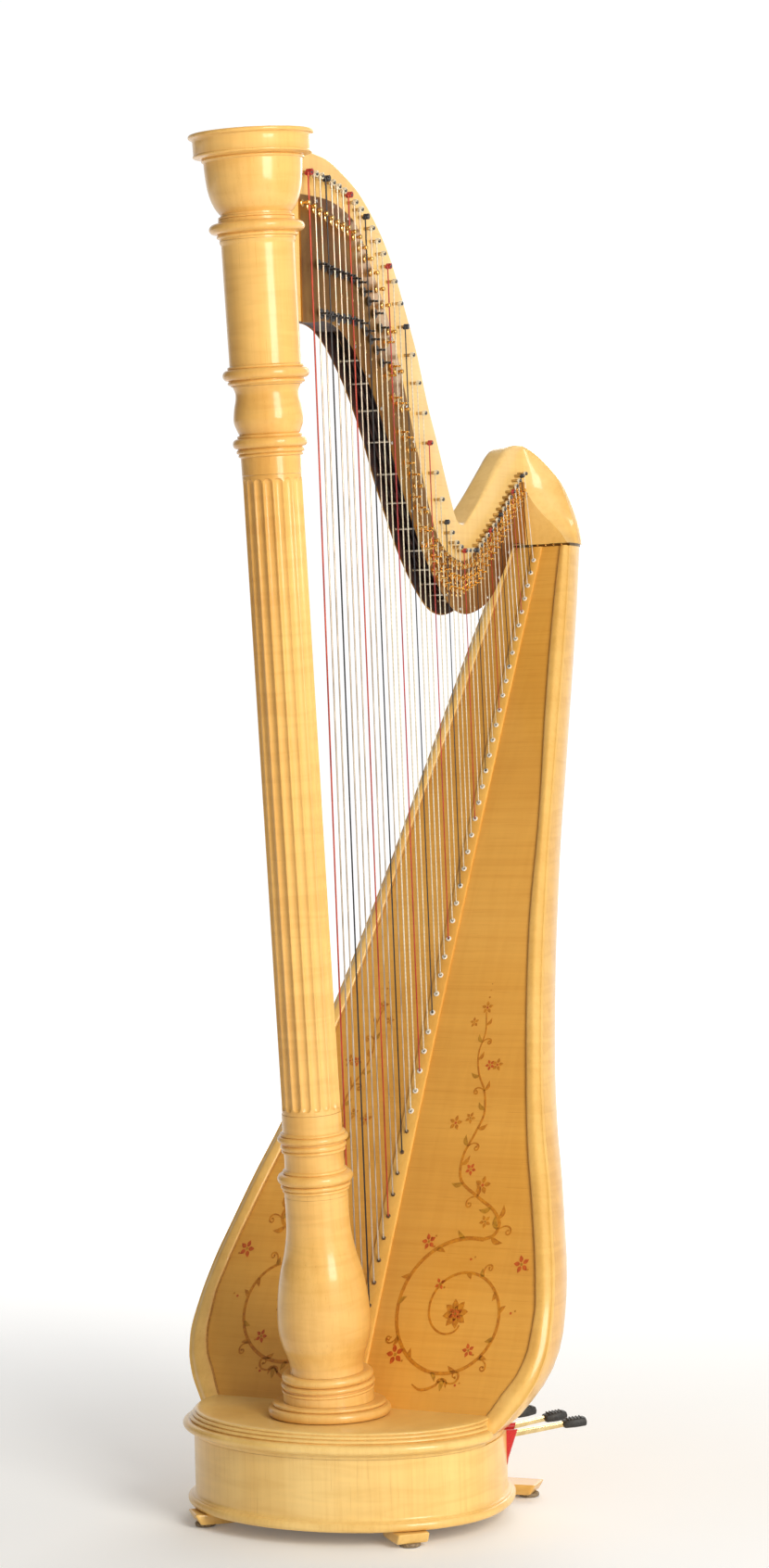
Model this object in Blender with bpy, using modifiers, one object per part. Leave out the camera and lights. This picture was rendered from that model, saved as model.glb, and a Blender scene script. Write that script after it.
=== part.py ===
"""Pedal harp, 47 strings, modelled piece by piece.  Metres, +Z up.

The harp stands on its four glides with z = 0 on the floor.  +X is the side
that carries the strings (the player's left), +Y runs from the column to the
player.  All positions below are written from the foot of the column; the
empty "harp_origin" then moves everything so that the origin is the middle of
the harp's footprint.
"""
import math
import bpy
import bmesh
from mathutils import Matrix, Vector

for _old in list(bpy.data.objects):
    bpy.data.objects.remove(_old, do_unlink=True)

# ------------------------------------------------------------------ sizes
GAP = 0.0003                    # clearance between touching pieces
SHIFT_Y = -0.3030942

# column
LEAN = math.radians(4.3)        # the column leans away from the player
COLUMN_Z0 = 0.150               # height of the column's foot
COLUMN_TOP = 1.8438             # height of the crown's centre
BORE = 0.022                    # bore for the pedal rods
TURN_SIDES = 20

# neck
NECK_YAW = math.radians(3.18)   # neck runs to the right towards the shoulder
NECK_X0 = 0.0007
NECK_WOOD = 0.018               # half thickness of the wood
PLATE_T = 0.002                 # thickness of an action plate
PLATE_IN = NECK_WOOD + GAP
PLATE_OUT = PLATE_IN + PLATE_T
STRING_X = PLATE_OUT + 0.0095   # string line, from the neck's middle plane
NECK_END = 0.7262               # where the neck meets the shoulder

# soundbox
BODY_Z0 = 0.118
BODY_Z1 = 1.335
BOARD_T = 0.008                 # thickness of the soundboard along Y
SHELL_T = 0.006

# base
BASE_CY = 0.0412                # centre of the base's plan
BASE_WIDE = 0.2149 / 0.185      # the plan is drawn out sideways,
BASE_FRONT = 0.1674 / 0.185     # drawn in at the front
BASE_REAR = 0.235 / 0.185       # and drawn out at the rear
WALL_R = 0.185
DECK_Z = 0.149
FLOOR_Z = 0.0203
BASE_SIDES = 40

# strings
STRINGS = 47
STRING_LEAN = 0.0668            # run per rise, nearly parallel to the column
NATURAL_AT = 0.047              # disc position, share of the string's length
SHARP_AT = 0.090

# pedals
PIVOT_R = 0.115                 # distance of the pivots from the column foot
PIVOT_Z = 0.089
PEDAL_SLOPE = math.radians(7.3)
LEVER_FRONT = 0.054             # inner end of the levers
LEVER_HALF = 0.00375
PEDALS = (("d", 0.2815, 0.215), ("c", 0.235, 0.250), ("b", 0.175, 0.275),
          ("e", -0.115, 0.285), ("f", -0.170, 0.275), ("g", -0.225, 0.250),
          ("a", -0.2815, 0.215))

# ------------------------------------------------------- collections, frames
PARTS = bpy.data.collections.new("pedal_harp")
CUTS = bpy.data.collections.new("cutters")
for _c in (PARTS, CUTS):
    bpy.context.scene.collection.children.link(_c)


def empty(name, parent=None, location=(0, 0, 0), rotation=(0, 0, 0)):
    ob = bpy.data.objects.new(name, None)
    CUTS.objects.link(ob)
    ob.parent = parent
    ob.location = location
    ob.rotation_euler = rotation
    return ob


ROOT = empty("harp_origin", None, (0, SHIFT_Y, 0))
COLUMN = empty("column_axis", ROOT, (0, 0, COLUMN_Z0), (LEAN, 0, 0))
NECK = empty("neck_plane", ROOT, (NECK_X0, 0, 0), (0, 0, NECK_YAW))
UPRIGHT = (math.pi / 2, 0, math.pi / 2)     # drawing plane to the plane Y-Z

MATERIALS = {}


def material(name, color, roughness, metallic=0.0):
    if name not in MATERIALS:
        m = bpy.data.materials.new(name)
        m.use_nodes = True
        s = m.node_tree.nodes["Principled BSDF"]
        s.inputs["Base Color"].default_value = (*color, 1.0)
        s.inputs["Roughness"].default_value = roughness
        s.inputs["Metallic"].default_value = metallic
        MATERIALS[name] = m
    return MATERIALS[name]


def maple():
    return material("maple", (0.78, 0.55, 0.25), 0.25)


def spruce():
    return material("spruce", (0.80, 0.52, 0.22), 0.35)


def inner_wood():
    return material("inner_wood", (0.60, 0.42, 0.22), 0.6)


def brass():
    return material("brass", (0.80, 0.58, 0.25), 0.22, 1.0)


def steel():
    return material("steel", (0.60, 0.60, 0.60), 0.3, 1.0)


def rubber():
    return material("rubber", (0.02, 0.02, 0.02), 0.6)


def felt():
    return material("felt", (0.45, 0.03, 0.03), 0.95)


def gut():
    return material("gut", (0.85, 0.80, 0.68), 0.4)


def gut_red():
    return material("gut_red", (0.60, 0.05, 0.04), 0.4)


def gut_black():
    return material("gut_black", (0.03, 0.03, 0.04), 0.4)


def add(ob, parent, mat, collection=PARTS):
    collection.objects.link(ob)
    ob.parent = parent
    ob.data.materials.clear()
    if mat is not None:
        ob.data.materials.append(mat)
    if collection is CUTS:
        ob.hide_render = True
        ob.display_type = "WIRE"
    return ob


# ---------------------------------------------------------------- modelling
def turned(name, profile, parent, mat, sides=TURN_SIDES, closed=True,
           collection=PARTS):
    """Profile of (radius, height), down the outside and up the bore."""
    mesh = bpy.data.meshes.new(name)
    n = len(profile)
    edges = [(i, i + 1) for i in range(n - 1)]
    if closed:
        edges.append((n - 1, 0))
    mesh.from_pydata([(r, 0.0, z) for r, z in profile], edges, [])
    ob = add(bpy.data.objects.new(name, mesh), parent, mat, collection)
    screw = ob.modifiers.new("turn", "SCREW")
    screw.axis = "Z"
    screw.angle = 2 * math.pi
    screw.steps = sides
    screw.render_steps = sides
    screw.use_merge_vertices = True
    screw.merge_threshold = 0.00005
    screw.use_smooth_shade = True
    return ob


def on_axis(z):
    """Distance along the leaning column for a height above the floor."""
    return (z - COLUMN_Z0) / math.cos(LEAN)


def column_piece(name, outer, bottom=None, top=None):
    """Hollow turned piece; outer is (height, radius) from top to bottom."""
    prof = [(r, on_axis(z)) for z, r in outer]
    prof += [(BORE, on_axis(outer[-1][0])), (BORE, on_axis(outer[0][0]))]
    return turned(name, prof, COLUMN, maple())


def outline_plate(name, loops, half, parent, mat, location=(0, 0, 0),
                  rotation=UPRIGHT, collection=PARTS):
    """Flat plate from closed outlines (the first one, then its holes)."""
    cu = bpy.data.curves.new(name, "CURVE")
    cu.dimensions = "2D"
    cu.fill_mode = "BOTH"
    cu.extrude = half
    for pts in loops:
        sp = cu.splines.new("POLY")
        sp.points.add(len(pts) - 1)
        for p, (a, b) in zip(sp.points, pts):
            p.co = (a, b, 0.0, 1.0)
        sp.use_cyclic_u = True
    ob = add(bpy.data.objects.new(name, cu), parent, mat, collection)
    ob.location = location
    ob.rotation_euler = rotation
    return ob


def as_mesh(ob, collection=PARTS):
    """Turns a curve object into a welded mesh object in the same place."""
    bpy.context.view_layer.update()
    dg = bpy.context.evaluated_depsgraph_get()
    mesh = bpy.data.meshes.new_from_object(ob.evaluated_get(dg))
    bm = bmesh.new()
    bm.from_mesh(mesh)
    bmesh.ops.remove_doubles(bm, verts=bm.verts, dist=0.00002)
    bmesh.ops.recalc_face_normals(bm, faces=bm.faces)
    bm.to_mesh(mesh)
    bm.free()
    name, parent, world = ob.name, ob.parent, ob.matrix_world.copy()
    bpy.data.objects.remove(ob, do_unlink=True)
    new = bpy.data.objects.new(name, mesh)
    collection.objects.link(new)
    new.parent = parent
    new.matrix_world = world
    if collection is CUTS:
        new.hide_render = True
        new.display_type = "WIRE"
    return new


def mesh_object(name, bm, parent, mat, smooth=True, collection=PARTS,
                location=(0, 0, 0), rotation=(0, 0, 0)):
    bmesh.ops.recalc_face_normals(bm, faces=bm.faces)
    mesh = bpy.data.meshes.new(name)
    bm.to_mesh(mesh)
    bm.free()
    if smooth:
        mesh.shade_smooth()
        mesh.set_sharp_from_angle(angle=math.radians(40))
    ob = add(bpy.data.objects.new(name, mesh), parent, mat, collection)
    ob.location = location
    ob.rotation_euler = rotation
    return ob


def rods(name, items, parent, mat, sides=6, collection=PARTS):
    """A group of separate round rods, each (start, end, radius)."""
    bm = bmesh.new()
    for a, b, r in items:
        a, b = Vector(a), Vector(b)
        d = b - a
        m = Matrix.Translation((a + b) / 2) @ d.to_track_quat("Z", "X").to_matrix().to_4x4()
        bmesh.ops.create_cone(bm, cap_ends=True, segments=sides, radius1=r,
                              radius2=r, depth=d.length, matrix=m)
    return mesh_object(name, bm, parent, mat, collection=collection)


def loft(name, rings, parent, mat, closed=False, smooth=True,
         collection=PARTS):
    """Solid through rings of points; closed joins the last to the first."""
    bm = bmesh.new()
    rows = [[bm.verts.new(p) for p in ring] for ring in rings]
    n = len(rings[0])
    pairs = list(zip(rows, rows[1:]))
    if closed:
        pairs.append((rows[-1], rows[0]))
    for a, b in pairs:
        for i in range(n):
            j = (i + 1) % n
            bm.faces.new((a[i], a[j], b[j], b[i]))
    if not closed:
        bm.faces.new(rows[0][::-1])
        bm.faces.new(rows[-1])
    return mesh_object(name, bm, parent, mat, smooth, collection)


def box(name, size, location, parent, mat, rotation=(0, 0, 0), bevel=0.0,
        collection=PARTS):
    bm = bmesh.new()
    bmesh.ops.create_cube(bm, size=1.0, matrix=Matrix.Diagonal((*size, 1.0)))
    ob = mesh_object(name, bm, parent, mat, False, collection, location, rotation)
    if bevel:
        b = ob.modifiers.new("edges", "BEVEL")
        b.width = bevel
        b.segments = 1
    return ob


def cut(ob, *cutters):
    for c in cutters:
        m = ob.modifiers.new("cut_" + c.name, "BOOLEAN")
        m.operation = "DIFFERENCE"
        m.solver = "EXACT"
        m.object = c


def join(ob, *others):
    """Boolean union; the joined shapes overlap the first one."""
    for c in others:
        m = ob.modifiers.new("join_" + c.name, "BOOLEAN")
        m.operation = "UNION"
        m.solver = "EXACT"
        m.object = c


def between(table, x):
    """Straight-line reading of a table of (x, value) pairs."""
    if x <= table[0][0]:
        return table[0][1]
    for (x0, y0), (x1, y1) in zip(table, table[1:]):
        if x <= x1:
            return y0 + (y1 - y0) * (x - x0) / (x1 - x0)
    return table[-1][1]


def smooth_step(a, b, x):
    t = min(1.0, max(0.0, (x - a) / (b - a)))
    return t * t * (3 - 2 * t)


# ------------------------------------------------------------ body outlines
def board_y(z):
    """Front face of the soundboard on the middle plane, a slight curve."""
    return 0.0198 * z * z + 0.5372 * z - 0.02266


BOARD_HALF = ((0.118, 0.205), (0.1304, 0.2242), (0.149, 0.240),
              (0.1748, 0.2584), (0.2013, 0.2699), (0.2337, 0.2753),
              (0.2691, 0.2726), (0.319, 0.2640), (0.372, 0.2493),
              (0.4404, 0.2290), (0.4927, 0.2109), (0.570, 0.1885),
              (0.6537, 0.1690), (0.7459, 0.1495), (0.8134, 0.1370),
              (0.8897, 0.1236), (0.9921, 0.1083), (1.0729, 0.0960),
              (1.1714, 0.0810), (1.2436, 0.0690), (1.335, 0.0520))


def board_half(z):
    return between(BOARD_HALF, z)


def body_rear(z):
    """Rear face of the soundbox on the middle plane."""
    return 0.255 + (z - DECK_Z) * (0.815 - 0.255) / (BODY_Z1 - DECK_Z)


def body_arc(z, inset=0.0, n=13, power=2.3):
    """Rounded back of the soundbox, from the string side to the other."""
    w = board_half(z) - inset
    yf = board_y(z) + BOARD_T + GAP
    yr = body_rear(z) - inset
    pts = []
    for i in range(n):
        t = math.pi * i / (n - 1)
        c, s = math.cos(t), math.sin(t)
        pts.append((w * math.copysign(abs(c) ** (2 / power), c),
                    yf + (yr - yf) * max(0.0, s) ** (2 / power), z))
    return pts


def base_plan(radius, n=BASE_SIDES):
    pts = []
    for i in range(n):
        t = 2 * math.pi * i / n
        s = math.sin(t)
        pts.append((radius * math.cos(t) * BASE_WIDE,
                    BASE_CY + radius * s * (BASE_REAR if s > 0 else BASE_FRONT)))
    return pts


def base_ring(name, profile, parent, mat, collection=PARTS):
    """Hollow ring with the base's plan; profile of (radius, height)."""
    plans = [[(x, y, z) for x, y in base_plan(r)] for r, z in profile]
    rings = [[plan[i] for plan in plans] for i in range(BASE_SIDES)]
    return loft(name, rings, parent, mat, closed=True, collection=collection)


def base_plate(name, layers, parent, mat, collection=PARTS):
    rings = [[(x, y, z) for x, y in base_plan(r)] for r, z in layers]
    return loft(name, rings, parent, mat, collection=collection)


# =================================================================== base
def pedal_angle(x, y):
    return math.atan2(y, x)


base_drum = base_ring("base_drum",
                      [(WALL_R, 0.1147), (WALL_R, 0.036), (0.188, 0.0325),
                       (0.194, 0.031), (0.194, FLOOR_Z), (0.173, FLOOR_Z),
                       (0.173, 0.1147)], ROOT, maple())
base_floor = base_plate("base_floor", [(0.1726, FLOOR_Z + GAP),
                                       (0.1726, 0.032)], ROOT, inner_wood())

# deck: its front half carries a stepped moulding, its rear half is plain
DECK_LAYERS = ((0.1815, 0.1490), (0.1830, 0.1478), (0.1880, 0.1462),
               (0.1900, 0.1385), (0.1970, 0.1355), (0.1990, 0.1310),
               (0.1990, 0.1215), (0.1960, 0.1155), (0.1830, 0.1150))
_rings = []
for _r, _z in DECK_LAYERS:
    _outer, _plain = base_plan(_r), base_plan(min(_r, 0.183))
    _rings.append([(*(o if o[1] < 0.035 else q), _z) for o, q in zip(_outer, _plain)])
base_top = loft("base_top", _rings, ROOT, maple())
rod_hole = turned("rod_hole", [(0.0, 0.2), (0.0225, 0.2), (0.0225, 0.09),
                                (0.0, 0.09)], ROOT, None, closed=False,
                  collection=CUTS)
cut(base_top, rod_hole)

# feet: four short blocks set radially, each with its round glide
FEET = (("front_string_side", 0.1545, -0.0735, 0.064, -0.013, -44),
        ("front_far_side", -0.1545, -0.0735, 0.064, -0.013, -136),
        ("rear_string_side", 0.177, 0.2445, 0.112, -0.040, 8),
        ("rear_far_side", -0.177, 0.2445, 0.112, -0.040, 172))
for _name, fx, fy, length, back, turn in FEET:
    ang = math.radians(turn)
    glide = rods("glide_" + _name, [((fx, fy, 0.0), (fx, fy, 0.0080), 0.014)],
                 ROOT, None, sides=12, collection=CUTS)
    _c = Vector((fx, fy, 0.0127)) + back * Vector((math.cos(ang), math.sin(ang), 0))
    foot = box("foot_" + _name, (length, 0.046, 0.0146), _c, ROOT, maple(),
               (0, 0, ang), bevel=0.003)
    join(foot, glide)

# ================================================================= column
board_cut = box("board_side_cut", (0.8, 0.5, 3.0), (0, 0, 0), ROOT, None,
                collection=CUTS)
_slope = math.atan(0.5372 + 2 * 0.0198 * 0.16)
board_cut.rotation_euler = (-_slope, 0, 0)
_n = Vector((0, math.cos(_slope), -math.sin(_slope)))
board_cut.location = Vector((0, board_y(0.16), 0.16)) + _n * (0.25 - 0.0008)

column_flange = turned("column_flange",
                       [(0.0750, 0.1680), (0.0750, 0.1635), (0.0810, 0.1630),
                        (0.0828, 0.1612), (0.0828, 0.1515), (0.0810, DECK_Z + GAP),
                        (BORE, DECK_Z + GAP), (BORE, 0.1680)], ROOT, maple())
cut(column_flange, board_cut)

column_base = column_piece("column_base",
                           [(0.2080, 0.0520), (0.2065, 0.0575), (0.2030, 0.0615),
                            (0.1970, 0.0632), (0.1910, 0.0615), (0.1875, 0.0585),
                            (0.1860, 0.0632), (0.1600, 0.0632)])
deck_cut = box("deck_cut", (0.5, 0.5, 0.05), (0, 0, 0.1683 - 0.025), ROOT,
               None, collection=CUTS)
cut(column_base, deck_cut)

column_vase = column_piece("column_vase",
                           [(0.4460, 0.0427), (0.4200, 0.0425), (0.3960, 0.0436),
                            (0.3680, 0.0485), (0.3415, 0.0554), (0.3100, 0.0605),
                            (0.2800, 0.0624), (0.2620, 0.0618), (0.2450, 0.0580),
                            (0.2315, 0.0529), (0.2180, 0.0496), (0.2083, 0.0494)])
column_lower_collar = column_piece("column_lower_collar",
                                   [(0.5575, 0.0400), (0.5310, 0.0400),
                                    (0.5280, 0.0460), (0.5230, 0.0476),
                                    (0.5180, 0.0420), (0.5130, 0.0440),
                                    (0.5040, 0.0440), (0.4990, 0.0397),
                                    (0.4800, 0.0400), (0.4760, 0.0470),
                                    (0.4690, 0.0507), (0.4620, 0.0490),
                                    (0.4580, 0.0445), (0.4463, 0.0440)])
column_upper_collar = column_piece("column_upper_collar",
                                   [(1.5178, 0.0440), (1.5050, 0.0415),
                                    (1.4900, 0.0440), (1.4762, 0.0460),
                                    (1.4650, 0.0435), (1.4545, 0.0392),
                                    (1.4490, 0.0440), (1.4450, 0.0480),
                                    (1.4400, 0.0489), (1.4340, 0.0470),
                                    (1.4290, 0.0420), (1.4189, 0.0396),
                                    (1.4023, 0.0394)])
# fluted shaft: a plain ring of grooves cut into a round outline
FLUTES = 18
SHAFT_R = 0.0393
_out = []
for _i in range(FLUTES * 4):
    _a = 2 * math.pi * _i / (FLUTES * 4)
    _depth = (0.0, 0.0, 0.0022, 0.0022)[_i % 4]
    _out.append(((SHAFT_R - _depth) * math.cos(_a), (SHAFT_R - _depth) * math.sin(_a)))
_bore = [(BORE * math.cos(2 * math.pi * _i / 24), BORE * math.sin(2 * math.pi * _i / 24))
         for _i in range(24)]
_z0, _z1 = on_axis(0.5578), on_axis(1.4020)
column_shaft = outline_plate("column_shaft", [_out, _bore], (_z1 - _z0) / 2,
                             COLUMN, maple(), (0, 0, (_z0 + _z1) / 2), (0, 0, 0))

column_sleeve = column_piece("column_sleeve",
                             [(1.7058, 0.0500), (1.7016, 0.0481), (1.6100, 0.0475),
                              (1.5442, 0.0470), (1.5380, 0.0465), (1.5340, 0.0545),
                              (1.5268, 0.0569), (1.5200, 0.0540), (1.5181, 0.0480)])
_crown = [(0.0, COLUMN_TOP), (0.0815, COLUMN_TOP), (0.0828, COLUMN_TOP - 0.0015),
          (0.0828, 1.8380), (0.0775, 1.8363), (0.0771, 1.8160), (0.0730, 1.8120),
          (0.0650, 1.8100), (0.0642, 1.8005), (0.0634, 1.7900), (0.0622, 1.7750),
          (0.0592, 1.7620), (0.0545, 1.7500), (0.0480, 1.7408),
          (0.0465, 1.7375), (0.0495, 1.7350), (0.0500, 1.7310),
          (0.0590, 1.7270), (0.0627, 1.7213), (0.0595, 1.7155),
          (0.0515, 1.7115), (0.0505, 1.7061), (BORE, 1.7061),
          (BORE, 1.8000), (0.0, 1.8000)]
column_crown = turned("column_crown", [(r, on_axis(z)) for r, z in _crown],
                      COLUMN, maple(), closed=False)

# =================================================================== neck
LOWER_EDGE = ((-0.044, 1.6040), (-0.010, 1.6070), (0.020, 1.6120),
              (0.050, 1.6110), (0.078, 1.6035), (0.1111, 1.5857),
              (0.1429, 1.5606), (0.1747, 1.5301), (0.2182, 1.4769),
              (0.2602, 1.4122), (0.2943, 1.3657), (0.3368, 1.3136),
              (0.384, 1.2705), (0.430, 1.2400), (0.465, 1.2297),
              (0.500, 1.2293), (0.5476, 1.2395), (0.5879, 1.2575),
              (0.6338, 1.2935), (0.668, 1.3270), (0.684, 1.3383),
              (NECK_END, 1.3386))
PLATE_TOP = ((-0.044, 1.7735), (0.0394, 1.7765), (0.0978, 1.7677),
             (0.138, 1.7510), (0.168, 1.7160), (0.198, 1.6800),
             (0.2222, 1.6495), (0.2597, 1.5910), (0.3009, 1.5032),
             (0.3371, 1.4268), (0.3600, 1.3800), (0.3818, 1.3457),
             (0.405, 1.3250), (0.4303, 1.3141), (0.465, 1.3065),
             (0.4915, 1.3070), (0.5137, 1.3125), (0.561, 1.3455),
             (0.6106, 1.3725), (0.6618, 1.4105), (0.703, 1.4300),
             (NECK_END, 1.4340))
NECK_TOP = ((-0.0966, 1.8360), (-0.045, 1.8362), (-0.0014, 1.8355),
            (0.0534, 1.8319), (0.1057, 1.8178), (0.1498, 1.8009),
            (0.1942, 1.7734), (0.2387, 1.7357), (0.2711, 1.6960),
            (0.3035, 1.6472), (0.3361, 1.5965), (0.3684, 1.5305),
            (0.4016, 1.4744), (0.4305, 1.4213), (0.4536, 1.3822),
            (0.4665, 1.3665), (0.480, 1.3610), (0.497, 1.3612),
            (0.5226, 1.3758), (0.5706, 1.4082), (0.6198, 1.4466),
            (0.6545, 1.4750), (0.675, 1.4855), (0.700, 1.4905),
            (NECK_END, 1.4905))
NUT_CURVE = ((-0.060, 1.7660), (-0.0371, 1.7625), (0.018, 1.7547),
             (0.0556, 1.7477), (0.0993, 1.7430), (0.1266, 1.7360),
             (0.1563, 1.7154), (0.1753, 1.6999), (0.1884, 1.6843),
             (0.2157, 1.6550), (0.2341, 1.6242), (0.2487, 1.5825),
             (0.266, 1.5408), (0.2787, 1.5059), (0.2944, 1.4622),
             (0.3073, 1.4269), (0.320, 1.3970), (0.3340, 1.3710),
             (0.352, 1.3475), (0.3743, 1.3260), (0.4125, 1.3070),
             (0.4632, 1.2960), (0.516, 1.3032), (0.5654, 1.3350),
             (0.6151, 1.3630), (0.6668, 1.4010), (0.705, 1.4195),
             (0.740, 1.4300))
PIN_CURVE = ((-0.060, 1.8036), (-0.0417, 1.8030), (0.0138, 1.8020),
             (0.0881, 1.7892), (0.1469, 1.7639), (0.2265, 1.6953),
             (0.2650, 1.6350), (0.3053, 1.5537), (0.342, 1.4732),
             (0.3721, 1.4062), (0.3972, 1.3598), (0.430, 1.3310),
             (0.460, 1.3200), (0.5059, 1.3225), (0.5574, 1.3510),
             (0.6025, 1.3790), (0.6500, 1.4130), (0.6873, 1.4400),
             (0.712, 1.4480), (0.740, 1.4540))


def wood_lower():
    """Underside of the wood: flush at both ends, an open channel between."""
    pts = [(-0.0793, 1.6045)]
    steps = 40
    for i in range(steps + 1):
        e = -0.040 + (NECK_END + 0.040) * i / steps
        rise = 0.0012 + 0.046 * smooth_step(0.070, 0.150, e) * (1 - smooth_step(0.600, 0.680, e))
        pts.append((e, between(LOWER_EDGE, e) + rise))
    return pts


def neck_wood_outline():
    return list(NECK_TOP) + wood_lower()[::-1]


# strings: fixed at the board's middle, parallel, up to the line of nuts
def eyelet(i):
    """Height of string i on the soundboard; spacing narrows upwards."""
    first, last = 0.0335, 0.0218
    s = 0.0
    for k in range(i):
        s += first + (last - first) * k / (STRINGS - 1)
    total = sum(first + (last - first) * k / (STRINGS - 1) for k in range(STRINGS - 1))
    return 0.186 + (1.3133 - 0.186) * s / total


def line_point(i, z):
    """Point of string i at height z, in the harp's coordinates."""
    ze = eyelet(i)
    ye = board_y(ze) - 0.0045
    y = ye - STRING_LEAN * (z - ze)
    # the upper end lies in the neck's string plane
    zt = TOP_Z[i]
    yt = ye - STRING_LEAN * (zt - ze)
    et = (yt - STRING_X * math.sin(NECK_YAW)) / math.cos(NECK_YAW)
    xt = NECK_X0 + STRING_X * math.cos(NECK_YAW) - et * math.sin(NECK_YAW)
    return Vector((xt * (z - ze) / (zt - ze), y, z))


def meet(i, curve):
    """Where string i crosses a curve of the neck plane: (e, z)."""
    ze = eyelet(i)
    ye = board_y(ze) - 0.0045

    def miss(e):
        z = between(curve, e)
        y = e * math.cos(NECK_YAW) + STRING_X * math.sin(NECK_YAW)
        return y - (ye - STRING_LEAN * (z - ze))
    lo, hi = curve[0][0], curve[-1][0]
    for _ in range(50):
        mid = (lo + hi) / 2
        if miss(mid) < 0:
            lo = mid
        else:
            hi = mid
    return lo, between(curve, lo)


NUTS = [meet(i, NUT_CURVE) for i in range(STRINGS)]
PINS = [meet(i, PIN_CURVE) for i in range(STRINGS)]
TOP_Z = [p[1] for p in PINS]


def string_radius(i):
    return 0.0012 - 0.0008 * i / (STRINGS - 1)


def neck_local(p):
    """Harp coordinates to the neck plane's own."""
    q = Vector(p) - Vector((NECK_X0, 0, 0))
    return Matrix.Rotation(-NECK_YAW, 3, "Z") @ q


def disc_place(i, share):
    """Centre of a disc on string i, in the neck plane: (e, z)."""
    length = NUTS[i][1] - eyelet(i)
    share *= 1.0 - 0.13 * max(0.0, 1.0 - abs(i - 21) / 5.0)
    z = NUTS[i][1] - share * length
    q = neck_local(line_point(i, z))
    return q.y, z


PIN_R, NUT_R = 0.0024, 0.0028
pin_items, nut_items = [], []
for _i in range(STRINGS):
    _r = string_radius(_i)
    _e, _z = PINS[_i]
    _e += PIN_R + _r + GAP
    pin_items.append(((-0.0300, _e, _z), (0.0335, _e, _z), PIN_R))
    _e, _z = NUTS[_i]
    _e -= NUT_R + _r + GAP
    nut_items.append(((PLATE_OUT - 0.0008, _e, _z), (0.0322, _e, _z), NUT_R))

neck_body = as_mesh(outline_plate("neck_body", [neck_wood_outline()],
                                  NECK_WOOD, NECK, maple()))
# the 47 tuning pins are driven through the wood and stand out on both sides
tuning_pins = rods("tuning_pins", pin_items, NECK, None, sides=5, collection=CUTS)
join(neck_body, tuning_pins)

_plate = list(PLATE_TOP) + list(LOWER_EDGE)[::-1]
near_plate = as_mesh(outline_plate("action_plate_string_side", [_plate], PLATE_T / 2,
                                   NECK, brass(), (PLATE_IN + PLATE_T / 2, 0, 0)))
far_plate = as_mesh(outline_plate("action_plate_far_side", [_plate], PLATE_T / 2,
                                  NECK, brass(), (-PLATE_IN - PLATE_T / 2, 0, 0)))
string_nuts = rods("string_nuts", nut_items, NECK, None, sides=5, collection=CUTS)
join(near_plate, string_nuts)

spacers = []
for _i in range(16):
    _e = 0.152 + (0.585 - 0.152) * _i / 15
    _z = between(LOWER_EDGE, _e) + 0.020
    spacers.append(((-PLATE_IN - 0.0008, _e, _z), (PLATE_IN - GAP, _e, _z), 0.0024))
plate_spacers = rods("plate_spacers", spacers, NECK, None, sides=6, collection=CUTS)
join(far_plate, plate_spacers)

# the neck's tenon sits in a slot of the column's head
_tenon = ((-0.0970, 1.8365), (0.05, 1.8365), (0.05, 1.6042), (-0.0797, 1.6042))
tenon_slot = as_mesh(outline_plate("tenon_slot", [_tenon], NECK_WOOD + GAP,
                                   NECK, None, collection=CUTS), CUTS)
for _ob in (column_sleeve, column_crown):
    cut(_ob, tenon_slot)


# fork discs: a bar across the string with a prong on each side of it
def fork_size(i):
    return 0.0118 - 0.0030 * i / (STRINGS - 1)


def fork_mesh(bm, matrix, length):
    """U-shaped fork, drawn across the string and made 4 mm high."""
    h, t, base = length / 2, 0.0016, 0.0022
    u = [(-h, 0), (h, 0), (h, 0.0118), (h - t, 0.0118), (h - t, base),
         (-h + t, base), (-h + t, 0.0118), (-h, 0.0118)]
    a = [bm.verts.new(matrix @ Vector((x, y, -0.0018))) for y, x in u]
    b = [bm.verts.new(matrix @ Vector((x, y, 0.0018))) for y, x in u]
    n = len(u)
    bm.faces.new(a)
    bm.faces.new(b[::-1])
    for k in range(n):
        bm.faces.new((a[k], b[k], b[(k + 1) % n], a[(k + 1) % n]))


def tilt_at(i):
    """Turn about the neck's X axis that sets a disc square to its string."""
    return math.atan(STRING_LEAN)


SAMPLE_C, SAMPLE_F = 14, 10
for _row, _share in (("natural", NATURAL_AT), ("sharp", SHARP_AT)):
    bm = bmesh.new()
    for _i in range(2, STRINGS):
        _e, _z = disc_place(_i, _share)
        _m = (Matrix.Translation((PLATE_OUT - 0.0008, _e, _z))
              @ Matrix.Rotation(tilt_at(_i), 4, "X"))
        if _i in (SAMPLE_C, SAMPLE_F):
            one = bmesh.new()
            fork_mesh(one, Matrix.Rotation(tilt_at(_i), 4, "X"), fork_size(_i))
            _letter = "c" if _i == SAMPLE_C else "f"
            mesh_object("%s_%s_disc" % (_letter, _row), one, NECK, brass(), False,
                        location=(PLATE_OUT + GAP, _e, _z))
        else:
            fork_mesh(bm, _m, fork_size(_i))
    join(near_plate, mesh_object(_row + "_discs", bm, NECK, None, False, CUTS))

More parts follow.
